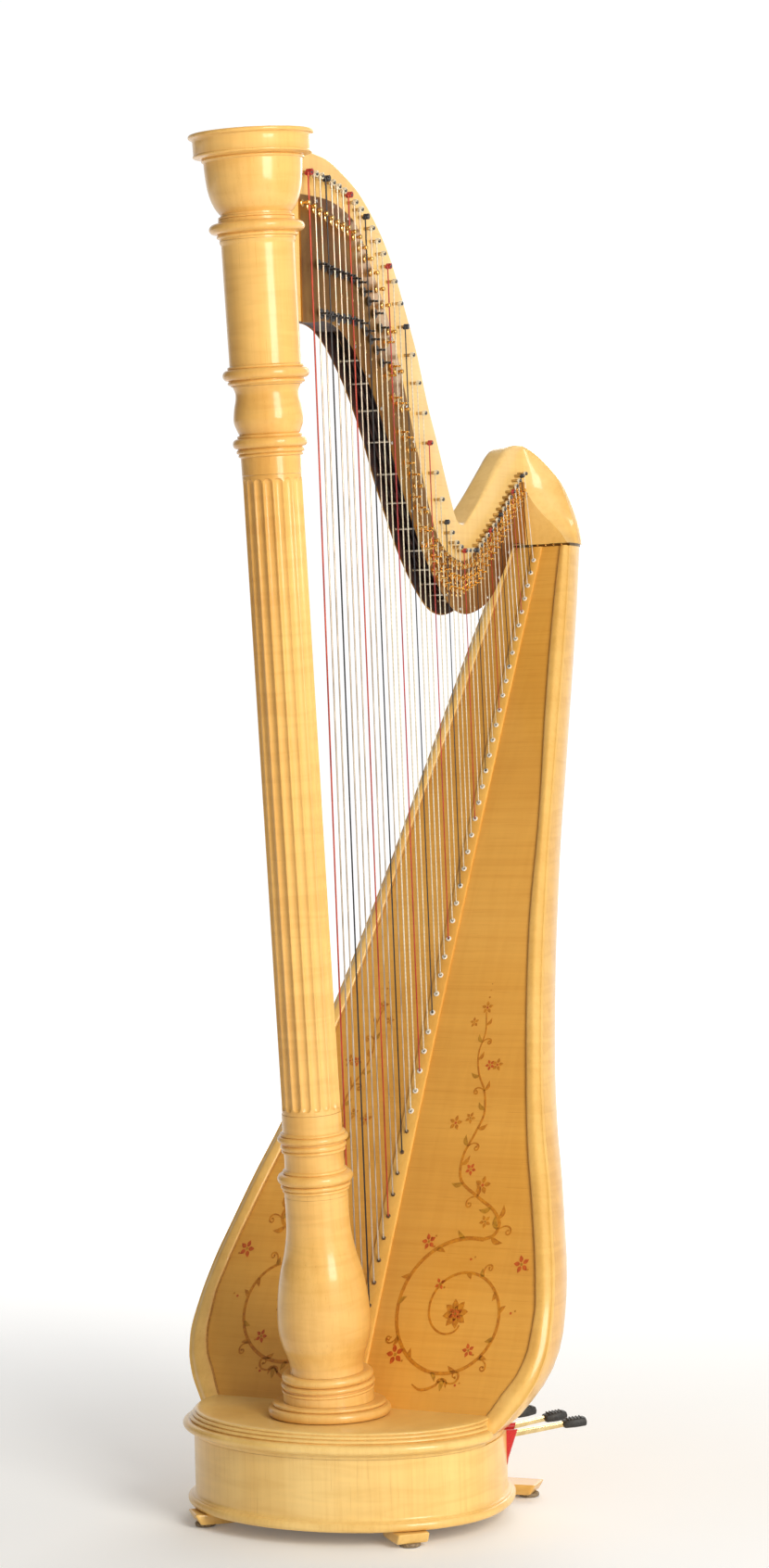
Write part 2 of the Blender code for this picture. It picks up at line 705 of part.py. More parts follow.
# ================================================================ shoulder
#           height   x0       xn      far      rear
SHOULDER = ((1.3380, 0.0490, 0.0510, -0.0510, 0.8150),
            (1.3600, 0.0330, 0.0480, -0.0535, 0.8160),
            (1.3850, 0.0080, 0.0420, -0.0560, 0.8130),
            (1.4100, -0.0110, 0.0340, -0.0572, 0.8050),
            (1.4320, -0.0205, 0.0250, -0.0574, 0.7940),
            (1.4540, -0.0216, 0.0120, -0.0574, 0.7740),
            (1.4700, -0.0218, 0.0000, -0.0572, 0.7560),
            (1.4820, -0.0222, -0.0120, -0.0565, 0.7400),
            (1.4890, -0.0260, -0.0230, -0.0530, 0.7320))


def shoulder_ring(z, x0, xn, far, rear):
    def front(x):
        return 0.7280 + 0.0556 * x
    ym = min(front(xn) + 0.030, (front(xn) + rear) / 2)
    pts = [(far, front(far) + 0.0001), (x0, front(x0))]
    c = (x0 + 0.25 * (xn - x0), front(x0) + 0.65 * (ym - front(x0)))
    for k in (1, 2, 3):
        t = k / 3
        a, b, d = (1 - t) ** 2, 2 * t * (1 - t), t * t
        pts.append((a * x0 + b * c[0] + d * xn,
                    a * front(x0) + b * c[1] + d * ym))
    mid = (xn + far) / 2
    for k in range(1, 10):
        t = math.pi * k / 10
        co, si = math.cos(t), math.sin(t)
        pts.append((mid + (xn - mid) * math.copysign(abs(co) ** 0.8, co),
                    ym + (rear - ym) * si ** 0.8))
    pts.append((far, ym))
    return [(x, y, z) for x, y in pts]


shoulder_block = loft("shoulder_block", [shoulder_ring(*row) for row in SHOULDER],
                      ROOT, maple())


def cap_ring(z, inset):
    pts = body_arc(BODY_Z1, inset, 15)
    yf = board_y(BODY_Z1) - 0.0003
    return [(board_half(BODY_Z1) - inset, yf, z)] + [(x, y, z) for x, y, _ in pts] \
        + [(-board_half(BODY_Z1) + inset, yf, z)]


shoulder_strip = loft("shoulder_strip", [cap_ring(1.3353, 0.0), cap_ring(1.3377, 0.0)],
                      ROOT, brass())

# =============================================================== soundbox
SHELL_Z = [0.1605, 0.185, 0.21, 0.2337, 0.265, 0.31, 0.372, 0.44, 0.52, 0.62,
           0.75, 0.90, 1.07, 1.22, BODY_Z1]
_rings = []
for _z in SHELL_Z:
    _rings.append(body_arc(_z) + body_arc(_z, SHELL_T)[::-1])
soundbox_shell = loft("soundbox_shell", _rings, ROOT, maple())

SOUND_HOLES = ((0.36, 0.095, 0.060), (0.56, 0.090, 0.050), (0.76, 0.080, 0.042),
               (0.95, 0.070, 0.034), (1.12, 0.055, 0.026))
bm = bmesh.new()
_tilt = math.atan((0.815 - 0.255) / (BODY_Z1 - DECK_Z))
for _z, _h, _w in SOUND_HOLES:
    _m = (Matrix.Translation((0, body_rear(_z), _z)) @ Matrix.Rotation(math.pi / 2 - _tilt, 4, "X")
          @ Matrix.Diagonal((_w, _h, 1.0, 1.0)))
    bmesh.ops.create_cone(bm, cap_ends=True, segments=14, radius1=0.5, radius2=0.5,
                          depth=0.06, matrix=_m)
hole_cut = mesh_object("sound_hole_cut", bm, ROOT, None, False, CUTS)
cut(soundbox_shell, hole_cut)

# the base's own volume, grown by the clearance, is cut from what sits on it
base_volume = base_plate("base_volume", [(WALL_R + 0.0006, DECK_Z + GAP),
                                         (WALL_R + 0.0006, 0.0)],
                         ROOT, None, collection=CUTS)

_rings = []
for _z in (0.1180, 0.1240, 0.1304, 0.1397, 0.149, 0.1602):
    _pts = body_arc(_z, 0.0, 21)
    _rings.append(_pts)
body_bottom_block = loft("body_bottom_block", _rings, ROOT, maple())
cut(body_bottom_block, base_volume)

_rings = []
for _z, _w in BOARD_HALF:
    _y = board_y(_z)
    _rings.append([(_w, _y + 0.002, _z), (_w - 0.002, _y, _z), (-_w + 0.002, _y, _z),
                   (-_w, _y + 0.002, _z), (-_w, _y + BOARD_T, _z), (_w, _y + BOARD_T, _z)])
soundboard = loft("soundboard", _rings, ROOT, spruce())
cut(soundboard, base_volume)
_moulding_volume = [[(x, y, z) for x, y in base_plan(0.1995)] for z in (0.1475, 0.0)]
moulding_volume = loft("moulding_volume", _moulding_volume, ROOT, None,
                       collection=CUTS)
cut(soundboard, moulding_volume)

_rings = []
for _k in range(9):
    _z = 0.1700 + (1.3345 - 0.1700) * _k / 8
    _y = board_y(_z)
    _w = 0.0130 + (0.0075 - 0.0130) * _k / 8
    _rings.append([(_w, _y - 0.0003, _z), (_w - 0.0015, _y - 0.0045, _z),
                   (-_w + 0.0015, _y - 0.0045, _z), (-_w, _y - 0.0003, _z)])
centre_strip = loft("centre_strip", _rings, ROOT, maple(), smooth=False)
# braces inside: string bar behind the board, top block and three hoops
_rings = []
for _k in range(9):
    _z = 0.1660 + (1.2850 - 0.1660) * _k / 8
    _y = board_y(_z) + BOARD_T + 0.0006
    _w = 0.0150 + (0.0090 - 0.0150) * _k / 8
    _rings.append([(_w, _y, _z), (-_w, _y, _z), (-_w, _y + 0.012, _z), (_w, _y + 0.012, _z)])
inner_string_bar = loft("inner_string_bar", _rings, ROOT, inner_wood(), smooth=False)
soundbox_top_block = loft("soundbox_top_block",
                          [body_arc(_z, SHELL_T + 0.0015, 13) for _z in (1.2900, 1.3345)],
                          ROOT, inner_wood(), smooth=False)
for _name, _zr in (("lower", 0.460), ("middle", 0.660), ("upper", 0.855)):
    _lo_o, _lo_i = body_arc(_zr, SHELL_T + 0.003, 13), body_arc(_zr, SHELL_T + 0.015, 13)
    _hi_o, _hi_i = (body_arc(_zr + 0.010, SHELL_T + 0.003, 13),
                    body_arc(_zr + 0.010, SHELL_T + 0.015, 13))
    loft("soundbox_rib_" + _name, list(zip(_lo_o, _lo_i, _hi_i, _hi_o)), ROOT,
         inner_wood(), smooth=False)

# ================================================================ strings
# each group is one piece: its strings, their eyelets and the thin strip of
# grommets on the board that they rise from
def string_group(name, first, last, mat):
    z0, z1 = eyelet(first) - 0.0075, eyelet(last) + 0.0075
    steps = 5
    rings = []
    for k in range(steps + 1):
        z = z0 + (z1 - z0) * k / steps
        y = board_y(z) - 0.0055
        rings.append([(0.003, y, z), (-0.003, y, z), (-0.003, y - 0.0012, z),
                      (0.003, y - 0.0012, z)])
    strip = loft(name, rings, ROOT, mat, smooth=False)
    wires, rims = [], []
    for i in range(first, last + 1):
        z = eyelet(i)
        lo = line_point(i, z + 0.0005) + Vector((0, -0.0014, 0))
        wires.append((lo, line_point(i, PINS[i][1]), string_radius(i)))
        g = 0.5372 + 2 * 0.0198 * z
        nrm = Vector((0, -1.0, g)).normalized()
        p = Vector((0, board_y(z) - 0.0055, z)) + nrm * 0.0005
        rims.append((p, p + nrm * 0.0020, 0.0040 - 0.0010 * i / 46))
    join(strip, rods(name + "_eyelets", rims, ROOT, None, sides=6, collection=CUTS),
         rods(name + "_wires", wires, ROOT, None, sides=4, collection=CUTS))
    return strip


strings_wire = string_group("strings_wire", 0, 11, steel())
strings_gut = string_group("strings_gut", 12, 34, gut())
strings_nylon = string_group("strings_nylon", 35, 46, gut())

# ================================================================= pedals
bracket_bm = bmesh.new()
felt_bm = bmesh.new()
slot_items = []
spring_bm = bmesh.new()
pivot_items = []


def frame_at(x, y, z, phi, slope=0.0):
    """Axes at a point: outward along the lever, up, and across."""
    d = Vector((math.cos(phi) * math.cos(slope), math.sin(phi) * math.cos(slope), math.sin(slope)))
    u = Vector((-math.cos(phi) * math.sin(slope), -math.sin(phi) * math.sin(slope), math.cos(slope)))
    w = d.cross(u)
    m = Matrix((d, u, w)).transposed().to_4x4()
    return Matrix.Translation((x, y, z)) @ m


def extrude_outline(bm, outline, half, matrix, plane="du"):
    """Adds a closed outline, made 2*half thick, to a mesh in progress."""
    def place(p, s):
        a, b = p
        v = Vector((a, b, s)) if plane == "du" else Vector((s, b, a))
        return bm.verts.new(matrix @ v)
    lo = [place(p, -half) for p in outline]
    hi = [place(p, half) for p in outline]
    n = len(outline)
    bm.faces.new(lo[::-1])
    bm.faces.new(hi)
    for k in range(n):
        bm.faces.new((lo[k], lo[(k + 1) % n], hi[(k + 1) % n], hi[k]))


slot_cut_bm = bmesh.new()
for _n, (name, px, py) in enumerate(PEDALS):
    phi = pedal_angle(px, py)
    reach = math.hypot(px, py)
    ex, ey = math.cos(phi), math.sin(phi)
    # lever: a straight bar with a pivot hole, outlined from the side
    a0, a1 = LEVER_FRONT - PIVOT_R, reach - 0.0345 - PIVOT_R
    side = [(a0, -0.0032), (-0.012, -0.0048), (0.012, -0.0048), (a1, -0.0035),
            (a1, 0.0035), (0.012, 0.0048), (-0.012, 0.0048), (a0, 0.0032)]
    hole = [(0.0022 * math.cos(math.pi * k / 3), 0.0022 * math.sin(math.pi * k / 3))
            for k in range(6)]
    m = frame_at(PIVOT_R * ex, PIVOT_R * ey, PIVOT_Z, phi, PEDAL_SLOPE)
    lever = outline_plate("pedal_" + name, [side, hole], LEVER_HALF, ROOT, brass(),
                          m.to_translation(), m.to_euler())
    # rubber cap on the lever's outer end
    cap = bmesh.new()
    cx = reach - 0.017 - PIVOT_R
    bmesh.ops.create_cube(cap, size=1.0, matrix=Matrix.Translation((cx, 0, 0))
                          @ Matrix.Diagonal((0.034, 0.013, 0.021, 1.0)))
    cap_ob = mesh_object("pedal_cap_" + name, cap, lever, rubber(), False)
    bev = cap_ob.modifiers.new("edges", "BEVEL")
    bev.width = 0.003
    bev.segments = 1
    # U bracket with the pivot pin held between its arms
    mb = frame_at(PIVOT_R * ex, PIVOT_R * ey, 0.0, phi)
    z0, z1, zi = 0.0335, 0.0945, 0.060
    u = [(-0.0078, z0), (0.0078, z0), (0.0078, z1), (0.0048, z1), (0.0048, zi),
         (-0.0048, zi), (-0.0048, z1), (-0.0078, z1)]
    extrude_outline(bracket_bm, u, 0.006, mb, "wu")
    w = mb.to_3x3() @ Vector((0, 0, 1))
    c = Vector((PIVOT_R * ex, PIVOT_R * ey, PIVOT_Z))
    pivot_items.append((c - w * 0.0063, c + w * 0.0063, 0.0018))
    # flat zigzag spring below the lever's inner end
    ms = frame_at(0.073 * ex, 0.073 * ey, 0.0, phi)
    zig, zag = [], []
    for k in range(7):
        zz = 0.0334 + 0.0062 * k
        xx = 0.006 if k % 2 else -0.006
        zig.append((xx - 0.0022, zz))
        zag.append((xx + 0.0022, zz))
    extrude_outline(spring_bm, zig + zag[::-1], 0.0025, ms, "du")
    # slot through the wall, lined with felt on both sides and below
    t = 0.0
    for _ in range(400):
        t += 0.001
        x, y = t * ex, t * ey
        s = (y - BASE_CY) / (BASE_REAR if y > BASE_CY else BASE_FRONT)
        if math.hypot(x / BASE_WIDE, s) > 0.1785:
            break
    mw = frame_at(t * ex, t * ey, 0.0, phi)
    felt_u = [(-0.0125, 0.0640), (0.0125, 0.0640), (0.0125, 0.1142), (0.0085, 0.1142),
              (0.0085, 0.0680), (-0.0085, 0.0680), (-0.0085, 0.1142), (-0.0125, 0.1142)]
    extrude_outline(felt_bm, felt_u, 0.0095, mw, "wu")
    slot = [(-0.0128, 0.0637), (0.0128, 0.0637), (0.0128, 0.130), (-0.0128, 0.130)]
    extrude_outline(slot_cut_bm, slot, 0.030, mw, "wu")

slot_cut = mesh_object("pedal_slot_cut", slot_cut_bm, ROOT, None, False, CUTS)
cut(base_drum, slot_cut)


def arc_outline(r0, r1, a0, a1, n):
    angles = [math.radians(a0 + (a1 - a0) * k / n) for k in range(n + 1)]
    return ([(r1 * math.cos(a), r1 * math.sin(a)) for a in angles]
            + [(r0 * math.cos(a), r0 * math.sin(a)) for a in angles[::-1]])


pedal_brackets = as_mesh(outline_plate("pedal_brackets", [arc_outline(0.104, 0.126, 30, 150, 16)],
                                       0.0013, ROOT, steel(), (0, 0, 0.0336), (0, 0, 0)))
join(pedal_brackets,
     mesh_object("bracket_arms", bracket_bm, ROOT, None, False, CUTS),
     rods("bracket_pins", pivot_items, ROOT, None, sides=6, collection=CUTS))
pedal_springs = as_mesh(outline_plate("pedal_springs", [arc_outline(0.064, 0.082, 30, 150, 16)],
                                      0.0010, ROOT, steel(), (0, 0, 0.0334), (0, 0, 0)))
join(pedal_springs, mesh_object("spring_leaves", spring_bm, ROOT, None, False, CUTS))

# felt: one band inside the wall with a U-shaped lining in each slot
_rings = []
for _i in range(31):
    _t = math.radians(14 + 152 * _i / 30)
    _rings.append([(r * math.cos(_t) * BASE_WIDE, BASE_CY + r * math.sin(_t) * BASE_REAR, z)
                   for r, z in ((0.1690, 0.0520), (0.1724, 0.0520), (0.1724, 0.0660),
                                (0.1690, 0.0660))])
pedal_slot_felts = loft("pedal_slot_felts", _rings, ROOT, felt(), smooth=False)
join(pedal_slot_felts, mesh_object("felt_linings", felt_bm, ROOT, None, False, CUTS))

# rods in the hollow column, one for each pedal
for _n, (name, px, py) in enumerate(PEDALS):
    _a = math.radians(90 - 360 * (_n + 0.5) / 7)
    _x, _y = 0.016 * math.cos(_a), 0.016 * math.sin(_a)
    bm = bmesh.new()
    _len = 1.618
    bmesh.ops.create_cone(bm, cap_ends=True, segments=6, radius1=0.002, radius2=0.002,
                          depth=_len, matrix=Matrix.Translation((0, 0, _len / 2)))
    mesh_object("pedal_rod_" + name, bm, COLUMN, steel(), location=(_x, _y, -0.066))

bpy.context.view_layer.update()
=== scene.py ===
"""Pedal harp: the visual model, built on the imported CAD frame.  Metres, +Z up.

+X is the side that carries the strings, +Y runs from the column to the
player.  Lengths along the harp are written from the foot of the column and
moved by SHIFT, as in the CAD.
"""
import math

import bmesh
import bpy
import numpy as np
from mathutils import Matrix, Vector


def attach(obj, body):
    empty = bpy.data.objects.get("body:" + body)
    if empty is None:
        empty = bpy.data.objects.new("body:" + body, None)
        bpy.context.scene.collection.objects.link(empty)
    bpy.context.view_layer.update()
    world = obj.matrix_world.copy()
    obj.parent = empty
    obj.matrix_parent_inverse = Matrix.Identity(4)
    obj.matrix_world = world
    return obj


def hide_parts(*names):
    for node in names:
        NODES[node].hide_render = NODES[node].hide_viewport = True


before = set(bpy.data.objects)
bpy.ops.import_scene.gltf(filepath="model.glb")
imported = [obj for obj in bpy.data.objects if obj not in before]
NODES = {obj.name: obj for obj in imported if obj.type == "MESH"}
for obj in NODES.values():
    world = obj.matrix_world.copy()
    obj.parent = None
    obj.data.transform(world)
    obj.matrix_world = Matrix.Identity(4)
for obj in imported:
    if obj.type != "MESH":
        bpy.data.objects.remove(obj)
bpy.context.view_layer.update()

# ------------------------------------------------------------------ frames
SHIFT = -0.3030942
LEAN = math.radians(4.3)
COLUMN_Z0 = 0.150
BORE = 0.022
NECK_YAW = math.radians(3.18)
NECK_X0 = 0.0007
NECK_WOOD = 0.018
PLATE_IN = 0.0183
PLATE_OUT = 0.0203
STRING_X = 0.0298
NECK_END = 0.7262
BODY_Z1 = 1.335
BOARD_T = 0.008
BASE_CY = 0.0412
BASE_WIDE = 0.2149 / 0.185
BASE_FRONT = 0.1674 / 0.185
BASE_REAR = 0.235 / 0.185
STRINGS = 47
STRING_LEAN = 0.0668

ROOT = Matrix.Translation((0, SHIFT, 0))
COLUMN = Matrix.Translation((0, SHIFT, COLUMN_Z0)) @ Matrix.Rotation(LEAN, 4, "X")
NECK = Matrix.Translation((NECK_X0, SHIFT, 0)) @ Matrix.Rotation(NECK_YAW, 4, "Z")
BODY = "harp"


def clamp(x, a=0.0, b=1.0):
    return a if x < a else b if x > b else x


def smooth_step(a, b, x):
    t = clamp((x - a) / (b - a))
    return t * t * (3 - 2 * t)


def between(table, x):
    if x <= table[0][0]:
        return table[0][1]
    for (x0, y0), (x1, y1) in zip(table, table[1:]):
        if x <= x1:
            return y0 + (y1 - y0) * (x - x0) / (x1 - x0)
    return table[-1][1]


def slopes(xs, ys):
    """Slopes for a smooth curve through a table that never overshoots it."""
    n = len(xs)
    d = [(ys[i + 1] - ys[i]) / (xs[i + 1] - xs[i]) for i in range(n - 1)]
    m = [d[0]]
    for i in range(1, n - 1):
        if d[i - 1] * d[i] <= 0:
            m.append(0.0)
        else:
            w1 = 2 * (xs[i + 1] - xs[i]) + (xs[i] - xs[i - 1])
            w2 = (xs[i + 1] - xs[i]) + 2 * (xs[i] - xs[i - 1])
            m.append((w1 + w2) / (w1 / d[i - 1] + w2 / d[i]))
    m.append(d[-1])
    return m


class Smooth:
    """Smooth reading of a table of (x, value) pairs."""

    def __init__(self, table):
        self.x = [t[0] for t in table]
        self.y = [t[1] for t in table]
        self.m = slopes(self.x, self.y)

    def __call__(self, v):
        x, y, m = self.x, self.y, self.m
        if v <= x[0]:
            return y[0]
        if v >= x[-1]:
            return y[-1]
        k = 0
        while x[k + 1] < v:
            k += 1
        h = x[k + 1] - x[k]
        t = (v - x[k]) / h
        a, b = t * t * t, t * t
        return ((2 * a - 3 * b + 1) * y[k] + (a - 2 * b + t) * h * m[k]
                + (-2 * a + 3 * b) * y[k + 1] + (a - b) * h * m[k + 1])


def catmull(points, per=8, closed=False):
    """Smooth open or closed line through the points."""
    p = [np.array(q, float) for q in points]
    n = len(p)
    out = []
    count = n if closed else n - 1
    for i in range(count):
        a = p[(i - 1) % n] if closed or i > 0 else 2 * p[0] - p[1]
        b, c = p[i], p[(i + 1) % n]
        d = p[(i + 2) % n] if closed or i + 2 < n else 2 * p[-1] - p[-2]
        for k in range(per):
            t = k / per
            out.append(0.5 * (2 * b + (c - a) * t + (2 * a - 5 * b + 4 * c - d) * t * t
                              + (3 * b - a - 3 * c + d) * t ** 3))
    if not closed:
        out.append(p[-1])
    return out


# --------------------------------------------------------------- materials
def nodes_of(name):
    m = bpy.data.materials.new(name)
    m.use_nodes = True
    nt = m.node_tree
    return m, nt, nt.nodes["Principled BSDF"]


def node(nt, kind, **values):
    n = nt.nodes.new(kind)
    for k, v in values.items():
        if k in n.inputs:
            n.inputs[k].default_value = v
        else:
            setattr(n, k, v)
    return n


def coords(nt, scale, rotation=(0, 0, 0)):
    t = nt.nodes.new("ShaderNodeTexCoord")
    m = nt.nodes.new("ShaderNodeMapping")
    m.inputs["Scale"].default_value = scale
    m.inputs["Rotation"].default_value = rotation
    nt.links.new(t.outputs["Object"], m.inputs["Vector"])
    return m.outputs["Vector"]


def noise(nt, vector, scale=1.0, detail=4.0, rough=0.55, distort=0.0):
    n = node(nt, "ShaderNodeTexNoise")
    n.inputs["Scale"].default_value = scale
    n.inputs["Detail"].default_value = detail
    n.inputs["Roughness"].default_value = rough
    n.inputs["Distortion"].default_value = distort
    nt.links.new(vector, n.inputs["Vector"])
    return n.outputs["Fac"]


def ramp(nt, fac, stops):
    r = nt.nodes.new("ShaderNodeValToRGB")
    e = r.color_ramp.elements
    e[0].position, e[0].color = stops[0][0], (*stops[0][1], 1)
    e[1].position, e[1].color = stops[-1][0], (*stops[-1][1], 1)
    for pos, col in stops[1:-1]:
        x = e.new(pos)
        x.color = (*col, 1)
    nt.links.new(fac, r.inputs["Fac"])
    return r.outputs["Color"]


def grey(v):
    return (v, v, v)


def mix(nt, a, b, fac, mode="MIX"):
    m = nt.nodes.new("ShaderNodeMix")
    m.data_type = "RGBA"
    m.blend_type = mode
    for socket, value in ((m.inputs[0], fac), (m.inputs[6], a), (m.inputs[7], b)):
        if hasattr(value, "is_linked"):
            nt.links.new(value, socket)
        elif isinstance(value, tuple):
            socket.default_value = (*value, 1)
        else:
            socket.default_value = value
    return m.outputs[2]


def bump(nt, bsdf, height, strength, distance=0.0005):
    b = nt.nodes.new("ShaderNodeBump")
    b.inputs["Strength"].default_value = strength
    b.inputs["Distance"].default_value = distance
    nt.links.new(height, b.inputs["Height"])
    nt.links.new(b.outputs["Normal"], bsdf.inputs["Normal"])


def lacquered(name, light, mid, dark, grain="z", broad=1.0, figure=0.35,
              rough=(0.28, 0.44), coat=0.42, coat_rough=0.08, fibre=1.0,
              rotation=(0, 0, 0), fibre_mix=0.6):
    """Clear-lacquered wood: broad tone, fibres, pores and a curly figure."""
    m, nt, s = nodes_of(name)
    def stretch(across, along):
        return tuple(along if c == grain else across for c in "xyz")
    tone = noise(nt, coords(nt, stretch(7 * broad, 1.1 * broad), rotation), 1.0, 3, 0.5, 0.4)
    fib = noise(nt, coords(nt, stretch(150 * fibre, 3.2), rotation), 1.0, 5, 0.6, 0.15)
    pore = noise(nt, coords(nt, stretch(820, 16), rotation), 1.0, 2, 0.5)
    curl = noise(nt, coords(nt, stretch(9, 62), rotation), 1.0, 2, 0.45, 0.9)
    colour = ramp(nt, tone, [(0.30, dark), (0.48, mid), (0.68, light)])
    fine = ramp(nt, fib, [(0.34, (0.93, 0.88, 0.80)), (0.52, grey(0.99)), (0.68, grey(1.03))])
    colour = mix(nt, colour, fine, fibre_mix, "MULTIPLY")
    curls = ramp(nt, curl, [(0.36, (0.95, 0.91, 0.84)), (0.50, grey(1.0)), (0.64, grey(1.05))])
    colour = mix(nt, colour, curls, figure, "MULTIPLY")
    pores = ramp(nt, pore, [(0.28, (0.72, 0.58, 0.42)), (0.35, grey(1.0))])
    colour = mix(nt, colour, pores, 0.4, "MULTIPLY")
    nt.links.new(colour, s.inputs["Base Color"])
    r = nt.nodes.new("ShaderNodeMapRange")
    r.inputs["To Min"].default_value, r.inputs["To Max"].default_value = rough
    nt.links.new(fib, r.inputs["Value"])
    nt.links.new(r.outputs["Result"], s.inputs["Roughness"])
    s.inputs["Coat Weight"].default_value = coat
    s.inputs["Coat Roughness"].default_value = coat_rough
    s.inputs["IOR"].default_value = 1.5
    s.inputs["Specular IOR Level"].default_value = 0.32
    bump(nt, s, fib, 0.06, 0.0002)
    return m


def bare_wood(name, light, dark, grain="z"):
    m, nt, s = nodes_of(name)
    def stretch(a, b):
        return tuple(b if c == grain else a for c in "xyz")
    fib = noise(nt, coords(nt, stretch(180, 5)), 1.0, 6, 0.65, 0.3)
    nt.links.new(ramp(nt, fib, [(0.35, dark), (0.62, light)]), s.inputs["Base Color"])
    s.inputs["Roughness"].default_value = 0.72
    bump(nt, s, fib, 0.25, 0.0003)
    return m


def metal(name, light, dark, rough=(0.12, 0.30), scale=60.0, scratch=0.05,
          spots=None):
    m, nt, s = nodes_of(name)
    v = coords(nt, (scale, scale, scale))
    broad = noise(nt, v, 0.35, 4, 0.6, 0.6)
    fine = noise(nt, coords(nt, (scale * 1.2, scale * 12, scale * 12)), 1.0, 3, 0.6)
    colour = ramp(nt, broad, [(0.35, dark), (0.65, light)])
    if spots:
        colour = mix(nt, colour, spots, ramp(nt, noise(nt, v, 1.6, 3, 0.7), [(0.60, grey(0)), (0.72, grey(0.6))]))
    nt.links.new(colour, s.inputs["Base Color"])
    s.inputs["Metallic"].default_value = 1.0
    r = nt.nodes.new("ShaderNodeMapRange")
    r.inputs["To Min"].default_value, r.inputs["To Max"].default_value = rough
    nt.links.new(fine, r.inputs["Value"])
    nt.links.new(r.outputs["Result"], s.inputs["Roughness"])
    bump(nt, s, fine, scratch, 0.0001)
    return m


def wound(name, light, dark, metallic, rough, pitch=520.0, depth=0.5):
    """String with a fine winding along its length."""
    m, nt, s = nodes_of(name)
    w = nt.nodes.new("ShaderNodeTexWave")
    w.wave_type, w.bands_direction = "BANDS", "Z"
    w.inputs["Scale"].default_value = pitch / 3.0
    t = nt.nodes.new("ShaderNodeTexCoord")
    nt.links.new(t.outputs["Object"], w.inputs["Vector"])
    n = noise(nt, coords(nt, (300, 300, 12)), 1.0, 3, 0.5)
    colour = mix(nt, ramp(nt, n, [(0.35, dark), (0.62, light)]),
                 ramp(nt, w.outputs["Fac"], [(0.0, grey(0.75)), (1.0, grey(1.05))]), 0.5, "MULTIPLY")
    nt.links.new(colour, s.inputs["Base Color"])
    s.inputs["Metallic"].default_value = metallic
    s.inputs["Roughness"].default_value = rough
    bump(nt, s, w.outputs["Fac"], depth * 0.3, 0.0001)
    return m


def plain(name, light, dark, rough, scale=200.0, strength=0.15, coat=0.0,
          sheen=0.0, metallic=0.0):
    """Speckled finish for rubber, felt, paint and cord."""
    m, nt, s = nodes_of(name)
    n = noise(nt, coords(nt, (scale,) * 3), 1.0, 5, 0.65)
    nt.links.new(ramp(nt, n, [(0.38, dark), (0.62, light)]), s.inputs["Base Color"])
    s.inputs["Roughness"].default_value = rough
    s.inputs["Coat Weight"].default_value = coat
    s.inputs["Coat Roughness"].default_value = 0.15
    s.inputs["Sheen Weight"].default_value = sheen
    s.inputs["Metallic"].default_value = metallic
    bump(nt, s, n, strength, 0.0004)
    return m


MAPLE_L, MAPLE_M, MAPLE_D = (0.86, 0.530, 0.170), (0.81, 0.468, 0.128), (0.70, 0.365, 0.082)
MAPLE = lacquered("maple_column", MAPLE_L, MAPLE_M, MAPLE_D, "z", 1.0, 0.8)
MAPLE_FLAT = lacquered("maple_neck", (0.88, 0.580, 0.200), (0.83, 0.515, 0.150), (0.75, 0.430, 0.108),
                       "y", 0.9, 0.5)
MAPLE_BASE = lacquered("maple_base", (0.90, 0.615, 0.220), (0.84, 0.540, 0.165), (0.74, 0.425, 0.105),
                       "z", 0.8, 0.8)
MAPLE_SHELL = lacquered("maple_shell", (0.84, 0.520, 0.150), (0.77, 0.440, 0.110), (0.67, 0.350, 0.075),
                        "z", 0.8, 1.0)
SPRUCE = lacquered("spruce_board", (0.78, 0.405, 0.078), (0.73, 0.358, 0.058), (0.665, 0.310, 0.045),
                   "x", 0.55, 0.30, (0.28, 0.44), 0.45, 0.14, 1.2, fibre_mix=0.7)
RIM = lacquered("maple_rim", (0.86, 0.540, 0.165), (0.80, 0.470, 0.120), (0.71, 0.380, 0.085), "z", 1.0, 0.5)
STRIP = lacquered("maple_strip", (0.84, 0.470, 0.105), (0.78, 0.405, 0.078), (0.70, 0.330, 0.055), "z", 1.0, 0.2)
# painted shade: a darker band along the rim's inner step, standing in for the shade that falls there
GROOVE_SHADE = plain("groove_painted_shade", (0.58, 0.285, 0.058), (0.44, 0.200, 0.038), 0.5, 300, 0.1)
INNER = bare_wood("inner_wood", (0.62, 0.44, 0.24), (0.42, 0.27, 0.13))
BRASS_PLATE = metal("brass_plate", (0.44, 0.225, 0.045), (0.26, 0.105, 0.022), (0.26, 0.44), 26, 0.06,
                    (0.36, 0.085, 0.020))
BRASS = metal("brass_parts", (0.95, 0.66, 0.26), (0.74, 0.44, 0.13), (0.07, 0.20), 160, 0.04)
BRASS_LEVER = metal("brass_lever", (0.90, 0.70, 0.36), (0.66, 0.47, 0.20), (0.14, 0.32), 90, 0.08)
JOINT_BRASS = metal("brass_joint", (0.30, 0.19, 0.07), (0.10, 0.06, 0.025), (0.25, 0.45), 90, 0.10)
STEEL = metal("steel_parts", (0.72, 0.70, 0.66), (0.42, 0.40, 0.37), (0.18, 0.36), 140, 0.06)
PIN = metal("pin_steel", (0.62, 0.47, 0.26), (0.34, 0.25, 0.13), (0.18, 0.38), 180, 0.06)
BLUED = plain("blued_tip", (0.045, 0.040, 0.038), (0.014, 0.012, 0.012), 0.28, 400, 0.1, 0.3)
BLACK_FORK = plain("black_fork", (0.026, 0.024, 0.024), (0.010, 0.009, 0.009), 0.30, 500, 0.12, 0.35)
# painted shade for the channel under the neck: the wood's underside, the near plate's inner face, the action links and
# a sheet on the far plate
CHANNEL_SHADE = plain("channel_painted_shade", (0.060, 0.018, 0.012), (0.014, 0.008, 0.008), 0.62, 60, 0.12, 0.0)
RUNG = metal("rung_metal", (0.78, 0.70, 0.58), (0.50, 0.42, 0.32), (0.20, 0.36), 200, 0.05)
